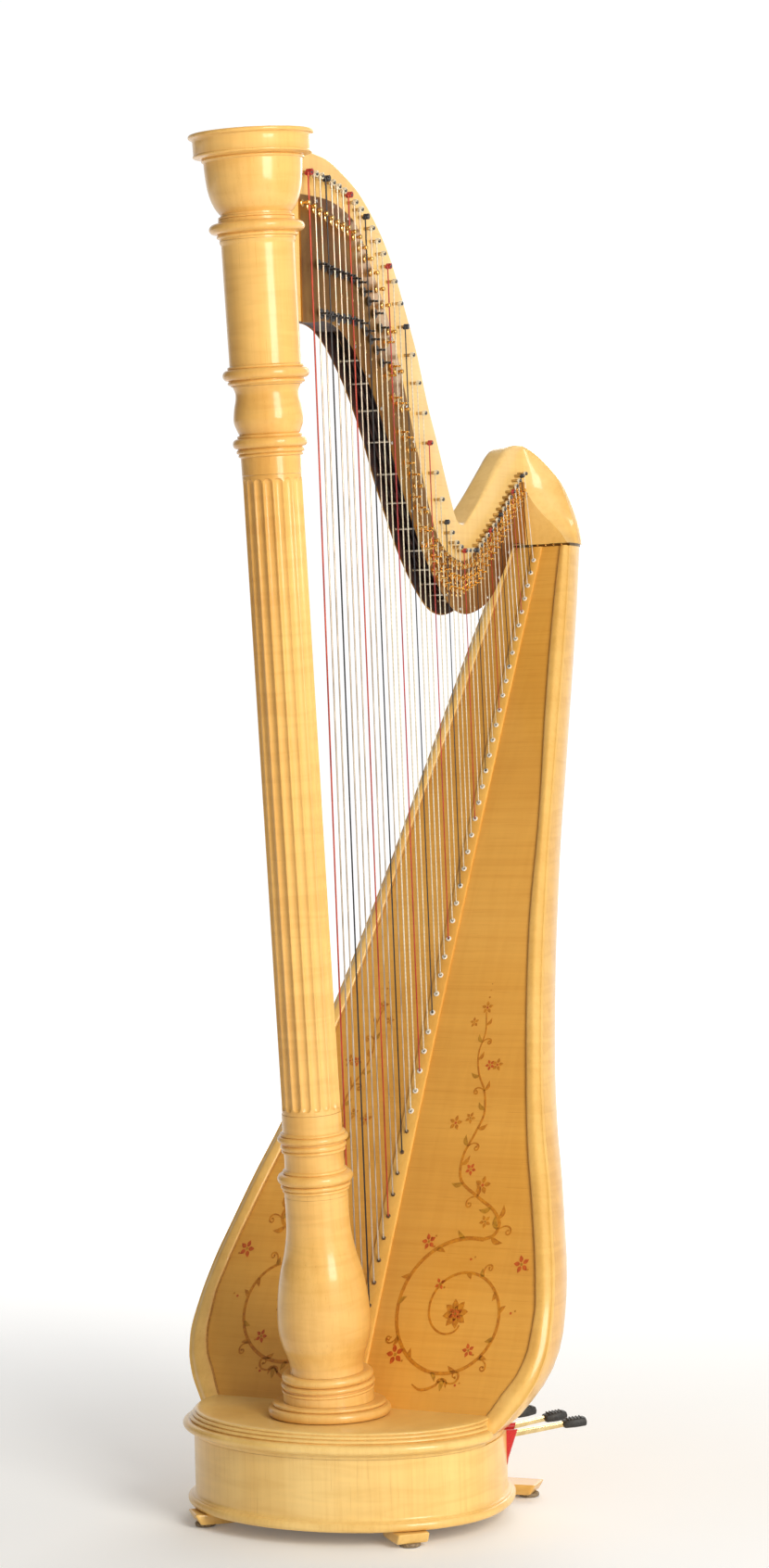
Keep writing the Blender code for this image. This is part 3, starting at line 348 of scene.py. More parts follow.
RUBBER = plain("rubber_black", (0.040, 0.038, 0.036), (0.016, 0.015, 0.014), 0.55, 420, 0.3)
FELT = plain("felt_red", (0.66, 0.022, 0.020), (0.40, 0.008, 0.010), 0.95, 900, 0.7, 0.0, 0.5)
GLIDE = plain("glide_dark", (0.30, 0.22, 0.12), (0.14, 0.09, 0.05), 0.5, 300, 0.2)
WHITE = plain("eyelet_white", (0.88, 0.84, 0.74), (0.74, 0.68, 0.56), 0.30, 500, 0.08, 0.4)
EYE_DARK = plain("eyelet_dark", (0.20, 0.12, 0.06), (0.08, 0.045, 0.02), 0.35, 500, 0.08, 0.3)
WIRE_PLAIN = wound("wire_plain", (0.62, 0.52, 0.40), (0.36, 0.28, 0.20), 0.85, 0.34)
WIRE_RED = wound("wire_red", (0.52, 0.060, 0.022), (0.30, 0.022, 0.010), 0.35, 0.36)
WIRE_BLACK = wound("wire_black", (0.040, 0.034, 0.032), (0.014, 0.012, 0.012), 0.45, 0.34)
GUT_PLAIN = wound("gut_plain", (0.78, 0.70, 0.52), (0.60, 0.50, 0.32), 0.0, 0.34, 160, 0.15)
GUT_RED = wound("gut_red", (0.50, 0.030, 0.016), (0.32, 0.014, 0.010), 0.0, 0.34, 160, 0.15)
GUT_BLACK = wound("gut_black", (0.026, 0.024, 0.028), (0.010, 0.010, 0.012), 0.0, 0.34, 160, 0.15)
NYLON_PLAIN = wound("nylon_plain", (0.86, 0.82, 0.72), (0.72, 0.66, 0.52), 0.0, 0.22, 60, 0.05)
PAINT_GOLD = plain("scroll_amber", (0.60, 0.230, 0.010), (0.42, 0.135, 0.006), 0.42, 160, 0.08, 0.3)
PAINT_OLIVE = plain("scroll_olive", (0.54, 0.250, 0.014), (0.36, 0.150, 0.008), 0.42, 160, 0.08, 0.3)
PAINT_RED = plain("scroll_red", (0.60, 0.115, 0.010), (0.42, 0.065, 0.006), 0.42, 160, 0.08, 0.3)


# ------------------------------------------------------------ mesh helpers
def finish_mesh(name, bm, matrix, mats, replaced=(), body=BODY, angle=38,
                recalc=True):
    bmesh.ops.remove_doubles(bm, verts=bm.verts, dist=0.000004)
    if recalc:
        bmesh.ops.recalc_face_normals(bm, faces=bm.faces)
    mesh = bpy.data.meshes.new(name)
    bm.to_mesh(mesh)
    bm.free()
    mesh.shade_smooth()
    mesh.set_sharp_from_angle(angle=math.radians(angle))
    for m in mats if isinstance(mats, (list, tuple)) else [mats]:
        mesh.materials.append(m)
    ob = bpy.data.objects.new(name, mesh)
    bpy.context.scene.collection.objects.link(ob)
    ob.matrix_world = matrix
    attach(ob, body)
    if replaced:
        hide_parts(*replaced)
    return ob


def add_grid(bm, rows, wrap_u=False, wrap_v=False, cap=True, mat=0, mats=None):
    """Faces through rows of points; wrap_v closes each row on itself."""
    vs = [[bm.verts.new(p) for p in row] for row in rows]
    n, m = len(vs), len(vs[0])
    for i in range(n if wrap_u else n - 1):
        a, b = vs[i], vs[(i + 1) % n]
        for j in range(m if wrap_v else m - 1):
            k = (j + 1) % m
            f = bm.faces.new((a[j], a[k], b[k], b[j]))
            f.material_index = mats[j] if mats else mat
    if cap and not wrap_u and wrap_v:
        for row in (vs[0], vs[-1]):
            f = bm.faces.new(row)
            f.material_index = mat
    return vs


class Profile:
    """Outline of a turned piece, from the top down, as (radius, height)."""

    def __init__(self):
        self.p = []

    def to(self, *pairs):
        for z, r in pairs:
            self.p.append((r, z))
        return self

    def bulge(self, z1, z0, edge1, peak, edge0=None, n=10):
        edge0 = edge1 if edge0 is None else edge0
        for k in range(n + 1):
            t = math.pi * k / n
            z = (z1 + z0) / 2 + (z1 - z0) / 2 * math.cos(t)
            e = edge1 + (edge0 - edge1) * k / n
            self.p.append((e + (peak - e) * math.sin(t), z))
        return self

    def curve(self, points, per=7):
        for z, r in catmull(points, per):
            self.p.append((float(r), float(z)))
        return self


def on_axis(z):
    return (z - COLUMN_Z0) / math.cos(LEAN)


def lathe_into(bm, profile, segs, matrix=None, mat=0):
    """Closed turned body; the profile starts and ends on the axis or bore."""
    start = len(bm.verts)
    rows = []
    for r, z in profile:
        if r < 1e-7:
            rows.append([bm.verts.new((0, 0, z))])
        else:
            rows.append([bm.verts.new((r * math.cos(2 * math.pi * k / segs),
                                       r * math.sin(2 * math.pi * k / segs), z))
                         for k in range(segs)])
    pairs = list(zip(rows, rows[1:]))
    if len(rows[0]) > 1 and len(rows[-1]) > 1:
        pairs.append((rows[-1], rows[0]))
    for a, b in pairs:
        for k in range(segs):
            j = (k + 1) % segs
            if len(a) == 1 and len(b) == 1:
                continue
            if len(a) == 1:
                f = bm.faces.new((a[0], b[k], b[j]))
            elif len(b) == 1:
                f = bm.faces.new((a[k], b[0], a[j]))
            else:
                f = bm.faces.new((a[k], b[k], b[j], a[j]))
            f.material_index = mat
    if matrix is not None:
        bm.verts.ensure_lookup_table()
        bmesh.ops.transform(bm, matrix=matrix, verts=bm.verts[start:])


def column_turned(name, profile, replaced, mat=None, segs=112, upright=False):
    bm = bmesh.new()
    conv = (lambda z: z) if upright else on_axis
    pts = [(r, conv(z)) for r, z in profile.p]
    if pts[0][0] > 1e-7:
        pts = [(BORE, pts[0][1])] + pts
    if pts[-1][0] > 1e-7:
        pts = pts + [(BORE, pts[-1][1])]
    lathe_into(bm, pts, segs)
    return finish_mesh(name, bm, ROOT if upright else COLUMN, mat or MAPLE, replaced)


# ===================================================================== column
board_slope = math.atan(0.5372 + 2 * 0.0198 * 0.16)


def board_y(z):
    return 0.0198 * z * z + 0.5372 * z - 0.02266


# foot flange, cut off where the soundboard passes
pr = Profile().to((0.1680, 0.0700)).bulge(0.1679, 0.1626, 0.0722, 0.0762, 0.0736, 8)
pr.to((0.1622, 0.0768)).bulge(0.1620, 0.1497, 0.0776, 0.0828, 0.0790, 12)
bm = bmesh.new()
lathe_into(bm, [(BORE, 0.1680)] + pr.p + [(BORE, 0.1497)], 128)
co = Vector((0, board_y(0.16), 0.16)) + Vector((0, math.cos(board_slope), -math.sin(board_slope))) * -0.0008
cutn = Vector((0, math.cos(board_slope), -math.sin(board_slope)))
geo = list(bm.verts) + list(bm.edges) + list(bm.faces)
cut = bmesh.ops.bisect_plane(bm, geom=geo, plane_co=co, plane_no=cutn, clear_outer=True)
bmesh.ops.holes_fill(bm, edges=[e for e in bm.edges if e.is_boundary], sides=0)
finish_mesh("foot_flange", bm, ROOT, MAPLE, ("column_flange",))

# foot drum and its torus, cut level with the flange
pr = Profile().bulge(0.2080, 0.1968, 0.0548, 0.0617, 0.0570, 12).to((0.1963, 0.0588))
pr.bulge(0.1960, 0.1890, 0.0596, 0.0632, 0.0596, 10).to((0.1886, 0.0590), (0.1872, 0.0592))
pr.bulge(0.1870, 0.1832, 0.0600, 0.0626, 0.0606, 8).to((0.1828, 0.0612), (0.1560, 0.0616))
bm = bmesh.new()
lathe_into(bm, [(BORE, on_axis(0.2080))] + [(r, on_axis(z)) for r, z in pr.p]
           + [(BORE, on_axis(0.1560))], 128)
inv = COLUMN.inverted()
co = inv @ Vector((0, SHIFT, 0.1683))
cutn = inv.to_3x3() @ Vector((0, 0, -1))
geo = list(bm.verts) + list(bm.edges) + list(bm.faces)
bmesh.ops.bisect_plane(bm, geom=geo, plane_co=co, plane_no=cutn, clear_outer=True)
bmesh.ops.holes_fill(bm, edges=[e for e in bm.edges if e.is_boundary], sides=0)
finish_mesh("foot_drum", bm, COLUMN, MAPLE, ("column_base",))

pr = Profile().curve([(0.4460, 0.0427), (0.4200, 0.0425), (0.3960, 0.0436), (0.3680, 0.0485),
                      (0.3415, 0.0554), (0.3100, 0.0605), (0.2800, 0.0624), (0.2620, 0.0617),
                      (0.2450, 0.0580), (0.2315, 0.0530), (0.2200, 0.0500), (0.2120, 0.0492)], 8)
pr.to((0.2083, 0.0498))
column_turned("vase", pr, ("column_vase",))

pr = Profile().to((0.5575, 0.0400), (0.5335, 0.0400), (0.5325, 0.0412))
pr.bulge(0.5322, 0.5292, 0.0418, 0.0440, 0.0424, 6).bulge(0.5286, 0.5196, 0.0430, 0.0476, 0.0420, 10)
pr.to((0.5190, 0.0412), (0.5172, 0.0412)).bulge(0.5168, 0.5100, 0.0418, 0.0440, 0.0420, 8)
pr.bulge(0.5094, 0.5050, 0.0412, 0.0428, 0.0404, 6).to((0.5042, 0.0398), (0.4830, 0.0399))
pr.bulge(0.4822, 0.4782, 0.0408, 0.0432, 0.0420, 6).to((0.4778, 0.0440))
pr.bulge(0.4774, 0.4640, 0.0446, 0.0507, 0.0450, 12).to((0.4634, 0.0440))
pr.bulge(0.4630, 0.4570, 0.0442, 0.0468, 0.0440, 8).bulge(0.4564, 0.4524, 0.0434, 0.0446, 0.0430, 6)
pr.to((0.4518, 0.0427), (0.4463, 0.0427))
column_turned("lower_rings", pr, ("column_lower_collar",))

pr = Profile().to((0.15178 * 10, 0.0447)).curve([(1.5165, 0.0440), (1.5110, 0.0419), (1.5050, 0.0415),
                                                 (1.4980, 0.0425), (1.4900, 0.0443), (1.4762, 0.0460),
                                                 (1.4680, 0.0449), (1.4600, 0.0418), (1.4560, 0.0402)], 6)
pr.to((1.4552, 0.0394)).bulge(1.4545, 1.4508, 0.0402, 0.0428, 0.0420, 6).to((1.4504, 0.0434))
pr.bulge(1.4500, 1.4372, 0.0440, 0.0489, 0.0436, 12).to((1.4366, 0.0424))
pr.bulge(1.4360, 1.4304, 0.0426, 0.0447, 0.0422, 8).bulge(1.4298, 1.4258, 0.0414, 0.0426, 0.0404, 6)
pr.to((1.4250, 0.0397), (1.4023, 0.0394))
column_turned("upper_rings", pr, ("column_upper_collar",))

pr = Profile().to((1.7058, 0.0500), (1.7030, 0.0496), (1.7016, 0.0483), (1.6990, 0.0480), (1.6100, 0.0475),
                  (1.5448, 0.0470), (1.5440, 0.0478))
pr.bulge(1.5436, 1.5404, 0.0486, 0.0502, 0.0492, 6).to((1.5400, 0.0502))
pr.bulge(1.5396, 1.5258, 0.0508, 0.0569, 0.0500, 12).to((1.5252, 0.0490))
pr.bulge(1.5248, 1.5200, 0.0490, 0.0508, 0.0480, 8).to((1.5194, 0.0470), (1.5181, 0.0468))
column_turned("sleeve", pr, ("column_sleeve",))

pr = Profile().to((1.8446, 0.0), (1.8446, 0.0700), (1.8443, 0.0790)).bulge(1.8440, 1.8386, 0.0808, 0.0828, 0.0808, 8)
pr.curve([(1.8384, 0.0802), (1.8374, 0.0786), (1.8352, 0.0775)], 4)
pr.to((1.8340, 0.0773), (1.8182, 0.0770)).bulge(1.8178, 1.8140, 0.0768, 0.0780, 0.0752, 6)
pr.curve([(1.8138, 0.0742), (1.8128, 0.0712), (1.8122, 0.0672)], 4)
pr.bulge(1.8118, 1.8080, 0.0660, 0.0672, 0.0650, 6)
pr.curve([(1.8072, 0.0645), (1.8000, 0.0643), (1.7900, 0.0636), (1.7750, 0.0619), (1.7620, 0.0588),
          (1.7500, 0.0538), (1.7430, 0.0492), (1.7408, 0.0474)], 7)
pr.to((1.7400, 0.0466), (1.7378, 0.0465)).bulge(1.7374, 1.7340, 0.0478, 0.0500, 0.0486, 6)
pr.to((1.7334, 0.0500), (1.7300, 0.0504), (1.7294, 0.0520))
pr.bulge(1.7288, 1.7148, 0.0544, 0.0627, 0.0530, 14).to((1.7142, 0.0516))
pr.bulge(1.7138, 1.7092, 0.0516, 0.0532, 0.0505, 8).to((1.7086, 0.0498), (1.7061, 0.0496), (1.7061, BORE),
      (1.8000, BORE), (1.8000, 0.0))
bm = bmesh.new()
lathe_into(bm, [(r, on_axis(z)) for r, z in pr.p], 144)
finish_mesh("crown", bm, COLUMN, MAPLE, ("column_crown",))

# fluted shaft: 18 round-ended flutes
FLUTES, SHAFT_R = 18, 0.0393
per = 12
z0, z1 = on_axis(0.5578), on_axis(1.4020)
flute0, flute1 = on_axis(0.563), on_axis(1.397)
half_pitch = math.pi / FLUTES
half_w = half_pitch * 0.85
cap = half_w * SHAFT_R * 1.25
zs = [z0, (z0 + flute0) / 2]
zs += [flute0 + cap * (1 - math.cos(math.pi / 2 * k / 9)) for k in range(10)]
mid = [flute0 + cap + (flute1 - flute0 - 2 * cap) * k / 14 for k in range(1, 14)]
zs += mid
zs += [flute1 - cap * (1 - math.cos(math.pi / 2 * k / 9)) for k in range(9, -1, -1)]
zs += [(z1 + flute1) / 2, z1]
rows = []
for z in zs:
    if z <= flute0 or z >= flute1:
        w = 0.0
    else:
        d = min(z - flute0, flute1 - z)
        w = half_w if d >= cap else half_w * math.sqrt(max(0.0, 1 - (1 - d / cap) ** 2))
    row = []
    for k in range(FLUTES):
        for j in range(per):
            u = (j / per - 0.5) * 2 * half_pitch
            a = 2 * half_pitch * (k + 0.5) + u
            uu = u
            if w > 1e-6:
                # depth of the flute across its width
                uu = u
                dep = 0.0034 * (w / half_w) * max(0.0, 1 - (u / w) ** 2) ** 0.62 if abs(u) < w else 0.0
            else:
                dep = 0.0
            r = SHAFT_R - dep
            row.append((r * math.cos(a), r * math.sin(a), z))
    rows.append(row)
bm = bmesh.new()
vs = add_grid(bm, rows, wrap_v=True, cap=False)
n = FLUTES * per
bore_rows = [[(BORE * math.cos(2 * math.pi * (k + 0.5) / n - half_pitch), BORE * math.sin(2 * math.pi * (k + 0.5) / n - half_pitch), z)
              for k in range(n)] for z in (z0, z1)]
bv = [[bm.verts.new(p) for p in row] for row in bore_rows]
for k in range(n):
    j = (k + 1) % n
    bm.faces.new((bv[0][k], bv[0][j], bv[1][j], bv[1][k]))
    bm.faces.new((vs[0][k], vs[0][j], bv[0][j], bv[0][k]))
    bm.faces.new((vs[-1][k], vs[-1][j], bv[1][j], bv[1][k]))
finish_mesh("fluted_shaft", bm, COLUMN, MAPLE, ("column_shaft",), angle=30)


# ======================================================================= neck
LOWER_EDGE = ((-0.044, 1.6040), (-0.010, 1.6070), (0.020, 1.6120),
              (0.050, 1.6110), (0.078, 1.6035), (0.1111, 1.5857),
              (0.1429, 1.5606), (0.1747, 1.5301), (0.2182, 1.4769),
              (0.2602, 1.4122), (0.2943, 1.3657), (0.3368, 1.3136),
              (0.384, 1.2705), (0.430, 1.2400), (0.465, 1.2297),
              (0.500, 1.2293), (0.5476, 1.2395), (0.5879, 1.2575),
              (0.6338, 1.2935), (0.668, 1.3270), (0.684, 1.3383),
              (NECK_END, 1.3386))
PLATE_TOP = ((-0.044, 1.7735), (0.0394, 1.7765), (0.0978, 1.7677),
             (0.138, 1.7510), (0.168, 1.7160), (0.198, 1.6800),
             (0.2222, 1.6495), (0.2597, 1.5910), (0.3009, 1.5032),
             (0.3371, 1.4268), (0.3600, 1.3800), (0.3818, 1.3457),
             (0.405, 1.3250), (0.4303, 1.3141), (0.465, 1.3065),
             (0.4915, 1.3070), (0.5137, 1.3125), (0.561, 1.3455),
             (0.6106, 1.3725), (0.6618, 1.4105), (0.703, 1.4300),
             (NECK_END, 1.4340))
NECK_TOP = ((-0.0966, 1.8360), (-0.045, 1.8362), (-0.0014, 1.8355),
            (0.0534, 1.8319), (0.1057, 1.8178), (0.1498, 1.8009),
            (0.1942, 1.7734), (0.2387, 1.7357), (0.2711, 1.6960),
            (0.3035, 1.6472), (0.3361, 1.5965), (0.3684, 1.5305),
            (0.4016, 1.4744), (0.4305, 1.4213), (0.4536, 1.3822),
            (0.4665, 1.3665), (0.480, 1.3610), (0.497, 1.3612),
            (0.5226, 1.3758), (0.5706, 1.4082), (0.6150, 1.4415),
            (0.6380, 1.4585), (0.6540, 1.4700), (0.6680, 1.4785), (0.6840, 1.4850),
            (0.7040, 1.4892), (NECK_END, 1.4902))
NUT_CURVE = ((-0.060, 1.7660), (-0.0371, 1.7625), (0.018, 1.7547),
             (0.0556, 1.7477), (0.0993, 1.7430), (0.1266, 1.7360),
             (0.1563, 1.7154), (0.1753, 1.6999), (0.1884, 1.6843),
             (0.2157, 1.6550), (0.2341, 1.6242), (0.2487, 1.5825),
             (0.266, 1.5408), (0.2787, 1.5059), (0.2944, 1.4622),
             (0.3073, 1.4269), (0.320, 1.3970), (0.3340, 1.3710),
             (0.352, 1.3475), (0.3743, 1.3260), (0.4125, 1.3070),
             (0.4632, 1.2960), (0.516, 1.3032), (0.5654, 1.3350),
             (0.6151, 1.3630), (0.6668, 1.4010), (0.705, 1.4195),
             (0.740, 1.4300))
PIN_CURVE = ((-0.060, 1.8036), (-0.0417, 1.8030), (0.0138, 1.8020),
             (0.0881, 1.7892), (0.1469, 1.7639), (0.2265, 1.6953),
             (0.2650, 1.6350), (0.3053, 1.5537), (0.342, 1.4732),
             (0.3721, 1.4062), (0.3972, 1.3598), (0.430, 1.3310),
             (0.460, 1.3200), (0.5059, 1.3225), (0.5574, 1.3510),
             (0.6025, 1.3790), (0.6500, 1.4130), (0.6873, 1.4400),
             (0.712, 1.4480), (0.740, 1.4540))


def wood_lower():
    pts = [(-0.0793, 1.6045)]
    steps = 40
    for i in range(steps + 1):
        e = -0.040 + (NECK_END + 0.040) * i / steps
        rise = 0.0012 + 0.046 * smooth_step(0.070, 0.150, e) * (1 - smooth_step(0.600, 0.680, e))
        pts.append((e, between(LOWER_EDGE, e) + rise))
    return pts


def even(line, gap):
    """The same line with points a steady distance apart."""
    line = [np.array(p, float) for p in line]
    out, left = [line[0]], gap
    for a, b in zip(line, line[1:]):
        d = np.linalg.norm(b - a)
        t = left
        while t < d:
            out.append(a + (b - a) * (t / d))
            t += gap
        left = t - d
    if np.linalg.norm(out[-1] - line[-1]) < gap * 0.4:
        out.pop()
    out.append(line[-1])
    return out


def plate_between(name, top, low, x0, x1, round_top, round_low, mats, replaced,
                  mat_low=0, mat_x0=0, rows=160, arc=4):
    """Curved slab between two lines of the neck plane, with rounded edges.

    top and low hold the same number of (e, z) points; x0 < x1 are its faces.
    """
    def resample(line):
        line = even(catmull(line, 8), 0.0008)
        idx = np.linspace(0, len(line) - 1, rows).round().astype(int)
        return [line[i] for i in idx]
    a, b = resample(top), resample(low)
    bm = bmesh.new()
    rings, tags = [], None
    for p, q in zip(a, b):
        d = p - q
        length = np.linalg.norm(d)
        d = d / length
        rt = min(round_top(p[0]) if callable(round_top) else round_top, length * 0.3)
        rl = min(round_low, length * 0.3)
        ring, tag = [], []
        # down the x1 face from the top edge, under the low edge, up the x0 face
        for k in range(arc + 1):
            t = math.pi / 2 * k / arc
            ring.append((x1 - rt * (1 - math.sin(t)), *(p - d * rt * (1 - math.cos(t)))))
            tag.append(0)
        for k in range(arc + 1):
            t = math.pi / 2 * k / arc
            ring.append((x1 - rl * (1 - math.cos(t)), *(q + d * rl * (1 - math.sin(t)))))
            tag.append(0)
        tag[-1] = mat_low
        for k in range(arc + 1):
            t = math.pi / 2 * k / arc
            ring.append((x0 + rl * (1 - math.sin(t)), *(q + d * rl * (1 - math.cos(t)))))
            tag.append(mat_x0)
        for k in range(arc + 1):
            t = math.pi / 2 * k / arc
            ring.append((x0 + rt * (1 - math.cos(t)), *(p - d * rt * (1 - math.sin(t)))))
            tag.append(0)
        rings.append(ring)
        tags = tag
    add_grid(bm, rings, wrap_v=True, mats=tags)
    return finish_mesh(name, bm, NECK, mats, replaced)


# the edge along the top is rounder over the hook
# the wood's underside (mat_low) and the near plate's inner face (mat_x0) take the channel's painted shade
plate_between("neck_wood", NECK_TOP, wood_lower(), -NECK_WOOD, NECK_WOOD,
              lambda e: 0.0035 + 0.0060 * smooth_step(0.52, 0.64, e) * (1 - smooth_step(0.680, 0.706, e)), 0.0008,
              [MAPLE_FLAT, CHANNEL_SHADE], ("neck_body",), mat_low=1, rows=260, arc=7)
plate_between("plate_string_side", PLATE_TOP, LOWER_EDGE, PLATE_IN, PLATE_OUT, 0.0005, 0.0005,
              [BRASS_PLATE, CHANNEL_SHADE], ("action_plate_string_side",), mat_x0=1, arc=2)
plate_between("plate_far_side", PLATE_TOP, LOWER_EDGE, -PLATE_OUT, -PLATE_IN, 0.0005, 0.0005,
              [BRASS_PLATE, CHANNEL_SHADE], ("action_plate_far_side",), arc=2)


# ================================================================ string data
def eyelet(i):
    first, last = 0.0335, 0.0218
    s = 0.0
    for k in range(i):
        s += first + (last - first) * k / (STRINGS - 1)
    total = sum(first + (last - first) * k / (STRINGS - 1) for k in range(STRINGS - 1))
    return 0.186 + (1.3133 - 0.186) * s / total


def meet(i, curve):
    ze = eyelet(i)
    ye = board_y(ze) - 0.0045
    lo, hi = curve[0][0], curve[-1][0]
    for _ in range(50):
        m_ = (lo + hi) / 2
        y = m_ * math.cos(NECK_YAW) + STRING_X * math.sin(NECK_YAW)
        if y - (ye - STRING_LEAN * (between(curve, m_) - ze)) < 0:
            lo = m_
        else:
            hi = m_
    return lo, between(curve, lo)


NUTS = [meet(i, NUT_CURVE) for i in range(STRINGS)]
PINS = [meet(i, PIN_CURVE) for i in range(STRINGS)]
TOP_Z = [p[1] for p in PINS]


def line_point(i, z):
    ze = eyelet(i)
    ye = board_y(ze) - 0.0045
    y = ye - STRING_LEAN * (z - ze)
    zt = TOP_Z[i]
    yt = ye - STRING_LEAN * (zt - ze)
    et = (yt - STRING_X * math.sin(NECK_YAW)) / math.cos(NECK_YAW)
    xt = NECK_X0 + STRING_X * math.cos(NECK_YAW) - et * math.sin(NECK_YAW)
    return Vector((xt * (z - ze) / (zt - ze), y, z))


def string_radius(i):
    return 0.0012 - 0.0008 * i / (STRINGS - 1)


def neck_local(p):
    q = Vector(p) - Vector((NECK_X0, 0, 0))
    return Matrix.Rotation(-NECK_YAW, 3, "Z") @ q


def disc_place(i, share):
    length = NUTS[i][1] - eyelet(i)
    share *= 1.0 - 0.13 * max(0.0, 1.0 - abs(i - 21) / 5.0)
    z = NUTS[i][1] - share * length
    q = neck_local(line_point(i, z))
    return q.y, z


PIN_R, NUT_R, GAP = 0.0024, 0.0028, 0.0003


def kind(i):
    return "red" if i % 7 == 0 else "black" if i % 7 == 3 else "plain"


ALONG_X = Matrix.Rotation(math.pi / 2, 4, "Y")      # turns +Z to +X


def at_x(x, e, z):
    return Matrix.Translation((x, e, z)) @ ALONG_X


# tuning pins: round on the string side with a dark tip, square at the far end
pins = bmesh.new()
wind = {"red": bmesh.new(), "black": bmesh.new(), "plain": bmesh.new()}
for i in range(STRINGS):
    e, z = PINS[i]
    r = string_radius(i)
    e += PIN_R + r + GAP
    lathe_into(pins, [(0, 0.0165), (PIN_R * 0.98, 0.0165), (PIN_R * 0.94, 0.0308), (PIN_R * 1.04, 0.0312),
                      (PIN_R * 1.04, 0.0326), (PIN_R * 0.80, 0.0334), (0, 0.0336)], 14, at_x(0, e, z))
    lathe_into(pins, [(0, 0.0300), (PIN_R * 0.5, 0.0316), (PIN_R * 1.08, 0.0318), (PIN_R * 1.10, 0.0330),
                      (PIN_R * 0.84, 0.0339), (0, 0.0340)], 14, at_x(0, e, z), mat=1)
    # square, tapered end for the tuning key
    m = at_x(0, e, z) @ Matrix.Rotation(math.pi / 4, 4, "Z")
    lathe_into(pins, [(0, -0.0300), (PIN_R * 1.02, -0.0297), (PIN_R * 1.22, -0.0190), (PIN_R * 1.22, -0.0175),
                      (0, -0.0165)], 4, m, mat=1)
    # the string's turns round the pin
    rr = max(0.00055, r)
    col = kind(i)
    turns = 4 if col != "plain" else 3
    wr = PIN_R + rr * 0.85
    steps = turns * 14
    path = []
    x0 = STRING_X - turns * rr
    for k in range(steps + 1):
        t = 2 * math.pi * k / 14
        path.append(Vector((x0 + 2 * rr * turns * k / steps, e + wr * math.cos(t + math.pi), z + wr * math.sin(t + math.pi))))
    rows = []
    for k, p in enumerate(path):
        t = 2 * math.pi * k / 14 + math.pi
        out = Vector((0, math.cos(t), math.sin(t)))
        rows.append([p + out * rr * math.cos(q) + Vector((1, 0, 0)) * rr * math.sin(q)
                     for q in [2 * math.pi * s / 6 for s in range(6)]])
    add_grid(wind[col], rows, wrap_v=True)
finish_mesh("tuning_pins", pins, NECK, [PIN, BLUED], (), angle=35)
finish_mesh("windings_red", wind["red"], NECK, GUT_RED, ())
finish_mesh("windings_black", wind["black"], NECK, GUT_BLACK, ())
finish_mesh("windings_plain", wind["plain"], NECK, GUT_PLAIN, ())

# string nuts: grooved brass posts with a washer on the plate
nuts = bmesh.new()
for i in range(STRINGS):
    e, z = NUTS[i]
    e -= NUT_R + string_radius(i) + GAP
    lathe_into(nuts, [(0, PLATE_OUT - 0.0004), (0.0048, PLATE_OUT - 0.0004), (0.0048, PLATE_OUT + 0.0010),
                      (0.0040, PLATE_OUT + 0.0018), (0.0022, PLATE_OUT + 0.0016), (0.0021, STRING_X - 0.0022),
                      (0.0028, STRING_X - 0.0017), (0.0031, STRING_X - 0.0012), (0.0027, STRING_X - 0.0004),
                      (0.0027, STRING_X + 0.0004), (0.0031, STRING_X + 0.0012), (0.0031, 0.0320),
                      (0.0025, 0.0326), (0, 0.0327)], 16, at_x(0, e, z))
finish_mesh("string_nuts", nuts, NECK, BRASS, ())


# fork discs: a round disc with two prongs that pass each side of the string
def fork_size(i):
    return 0.0132 - 0.0034 * i / (STRINGS - 1)


TILT = math.atan(STRING_LEAN)


def fork_into(bm, i, matrix, mat=0):
    h = fork_size(i) / 2
    lathe_into(bm, [(0, 0.0), (h * 1.06, 0.0), (h * 1.10, 0.0004), (h * 1.10, 0.0018), (h * 1.02, 0.0023),
                    (h * 0.55, 0.0025), (h * 0.5, 0.0021), (h * 0.16, 0.0021), (0, 0.0021)], 20, matrix @ ALONG_X, mat)
    pr_ = 0.00155
    for s in (-1, 1):
        m_ = matrix @ Matrix.Translation((0, s * (h - 0.0009), 0)) @ ALONG_X
        lathe_into(bm, [(0, 0.0018), (pr_ * 1.25, 0.0018), (pr_ * 1.2, 0.0028), (pr_ * 0.9, 0.0034),
                        (pr_ * 0.9, 0.0102), (pr_ * 1.1, 0.0108), (pr_ * 1.1, 0.0117), (pr_ * 0.6, 0.0122),
                        (0, 0.0123)], 10, m_, mat)


SAMPLE = {14: "c", 10: "f"}
BLACK_UP_TO = 13
forks = {"gold": bmesh.new(), "black": bmesh.new()}
for row, share in (("natural", 0.047), ("sharp", 0.090)):
    for i in range(2, STRINGS):
        e, z = disc_place(i, share)
        if i in SAMPLE:
            one = bmesh.new()
            fork_into(one, i, Matrix.Rotation(TILT, 4, "X"))
            nm = "%s_%s_disc" % (SAMPLE[i], row)
            finish_mesh("fork_%s_%s" % (SAMPLE[i], row), one,
                        NECK @ Matrix.Translation((PLATE_OUT + GAP, e, z)),
                        BLACK_FORK if i <= BLACK_UP_TO else BRASS, (nm,),
                        body="%s_%s" % (SAMPLE[i], row))
        else:
            m = Matrix.Translation((PLATE_OUT, e, z)) @ Matrix.Rotation(TILT, 4, "X")
            fork_into(forks["black" if i <= BLACK_UP_TO else "gold"], i, m)
finish_mesh("forks_black", forks["black"], NECK, BLACK_FORK, ())
finish_mesh("forks_gold", forks["gold"], NECK, BRASS, ())


# small slotted screws along the plates, and the spindles between them
def slotted_screw(bm, matrix, r=0.0026, mat=0):
    lathe_into(bm, [(0, -0.0004), (r, -0.0004), (r, 0.0003), (r * 0.86, 0.0008), (r * 0.5, 0.0011), (0, 0.0012)],
               14, matrix, mat)


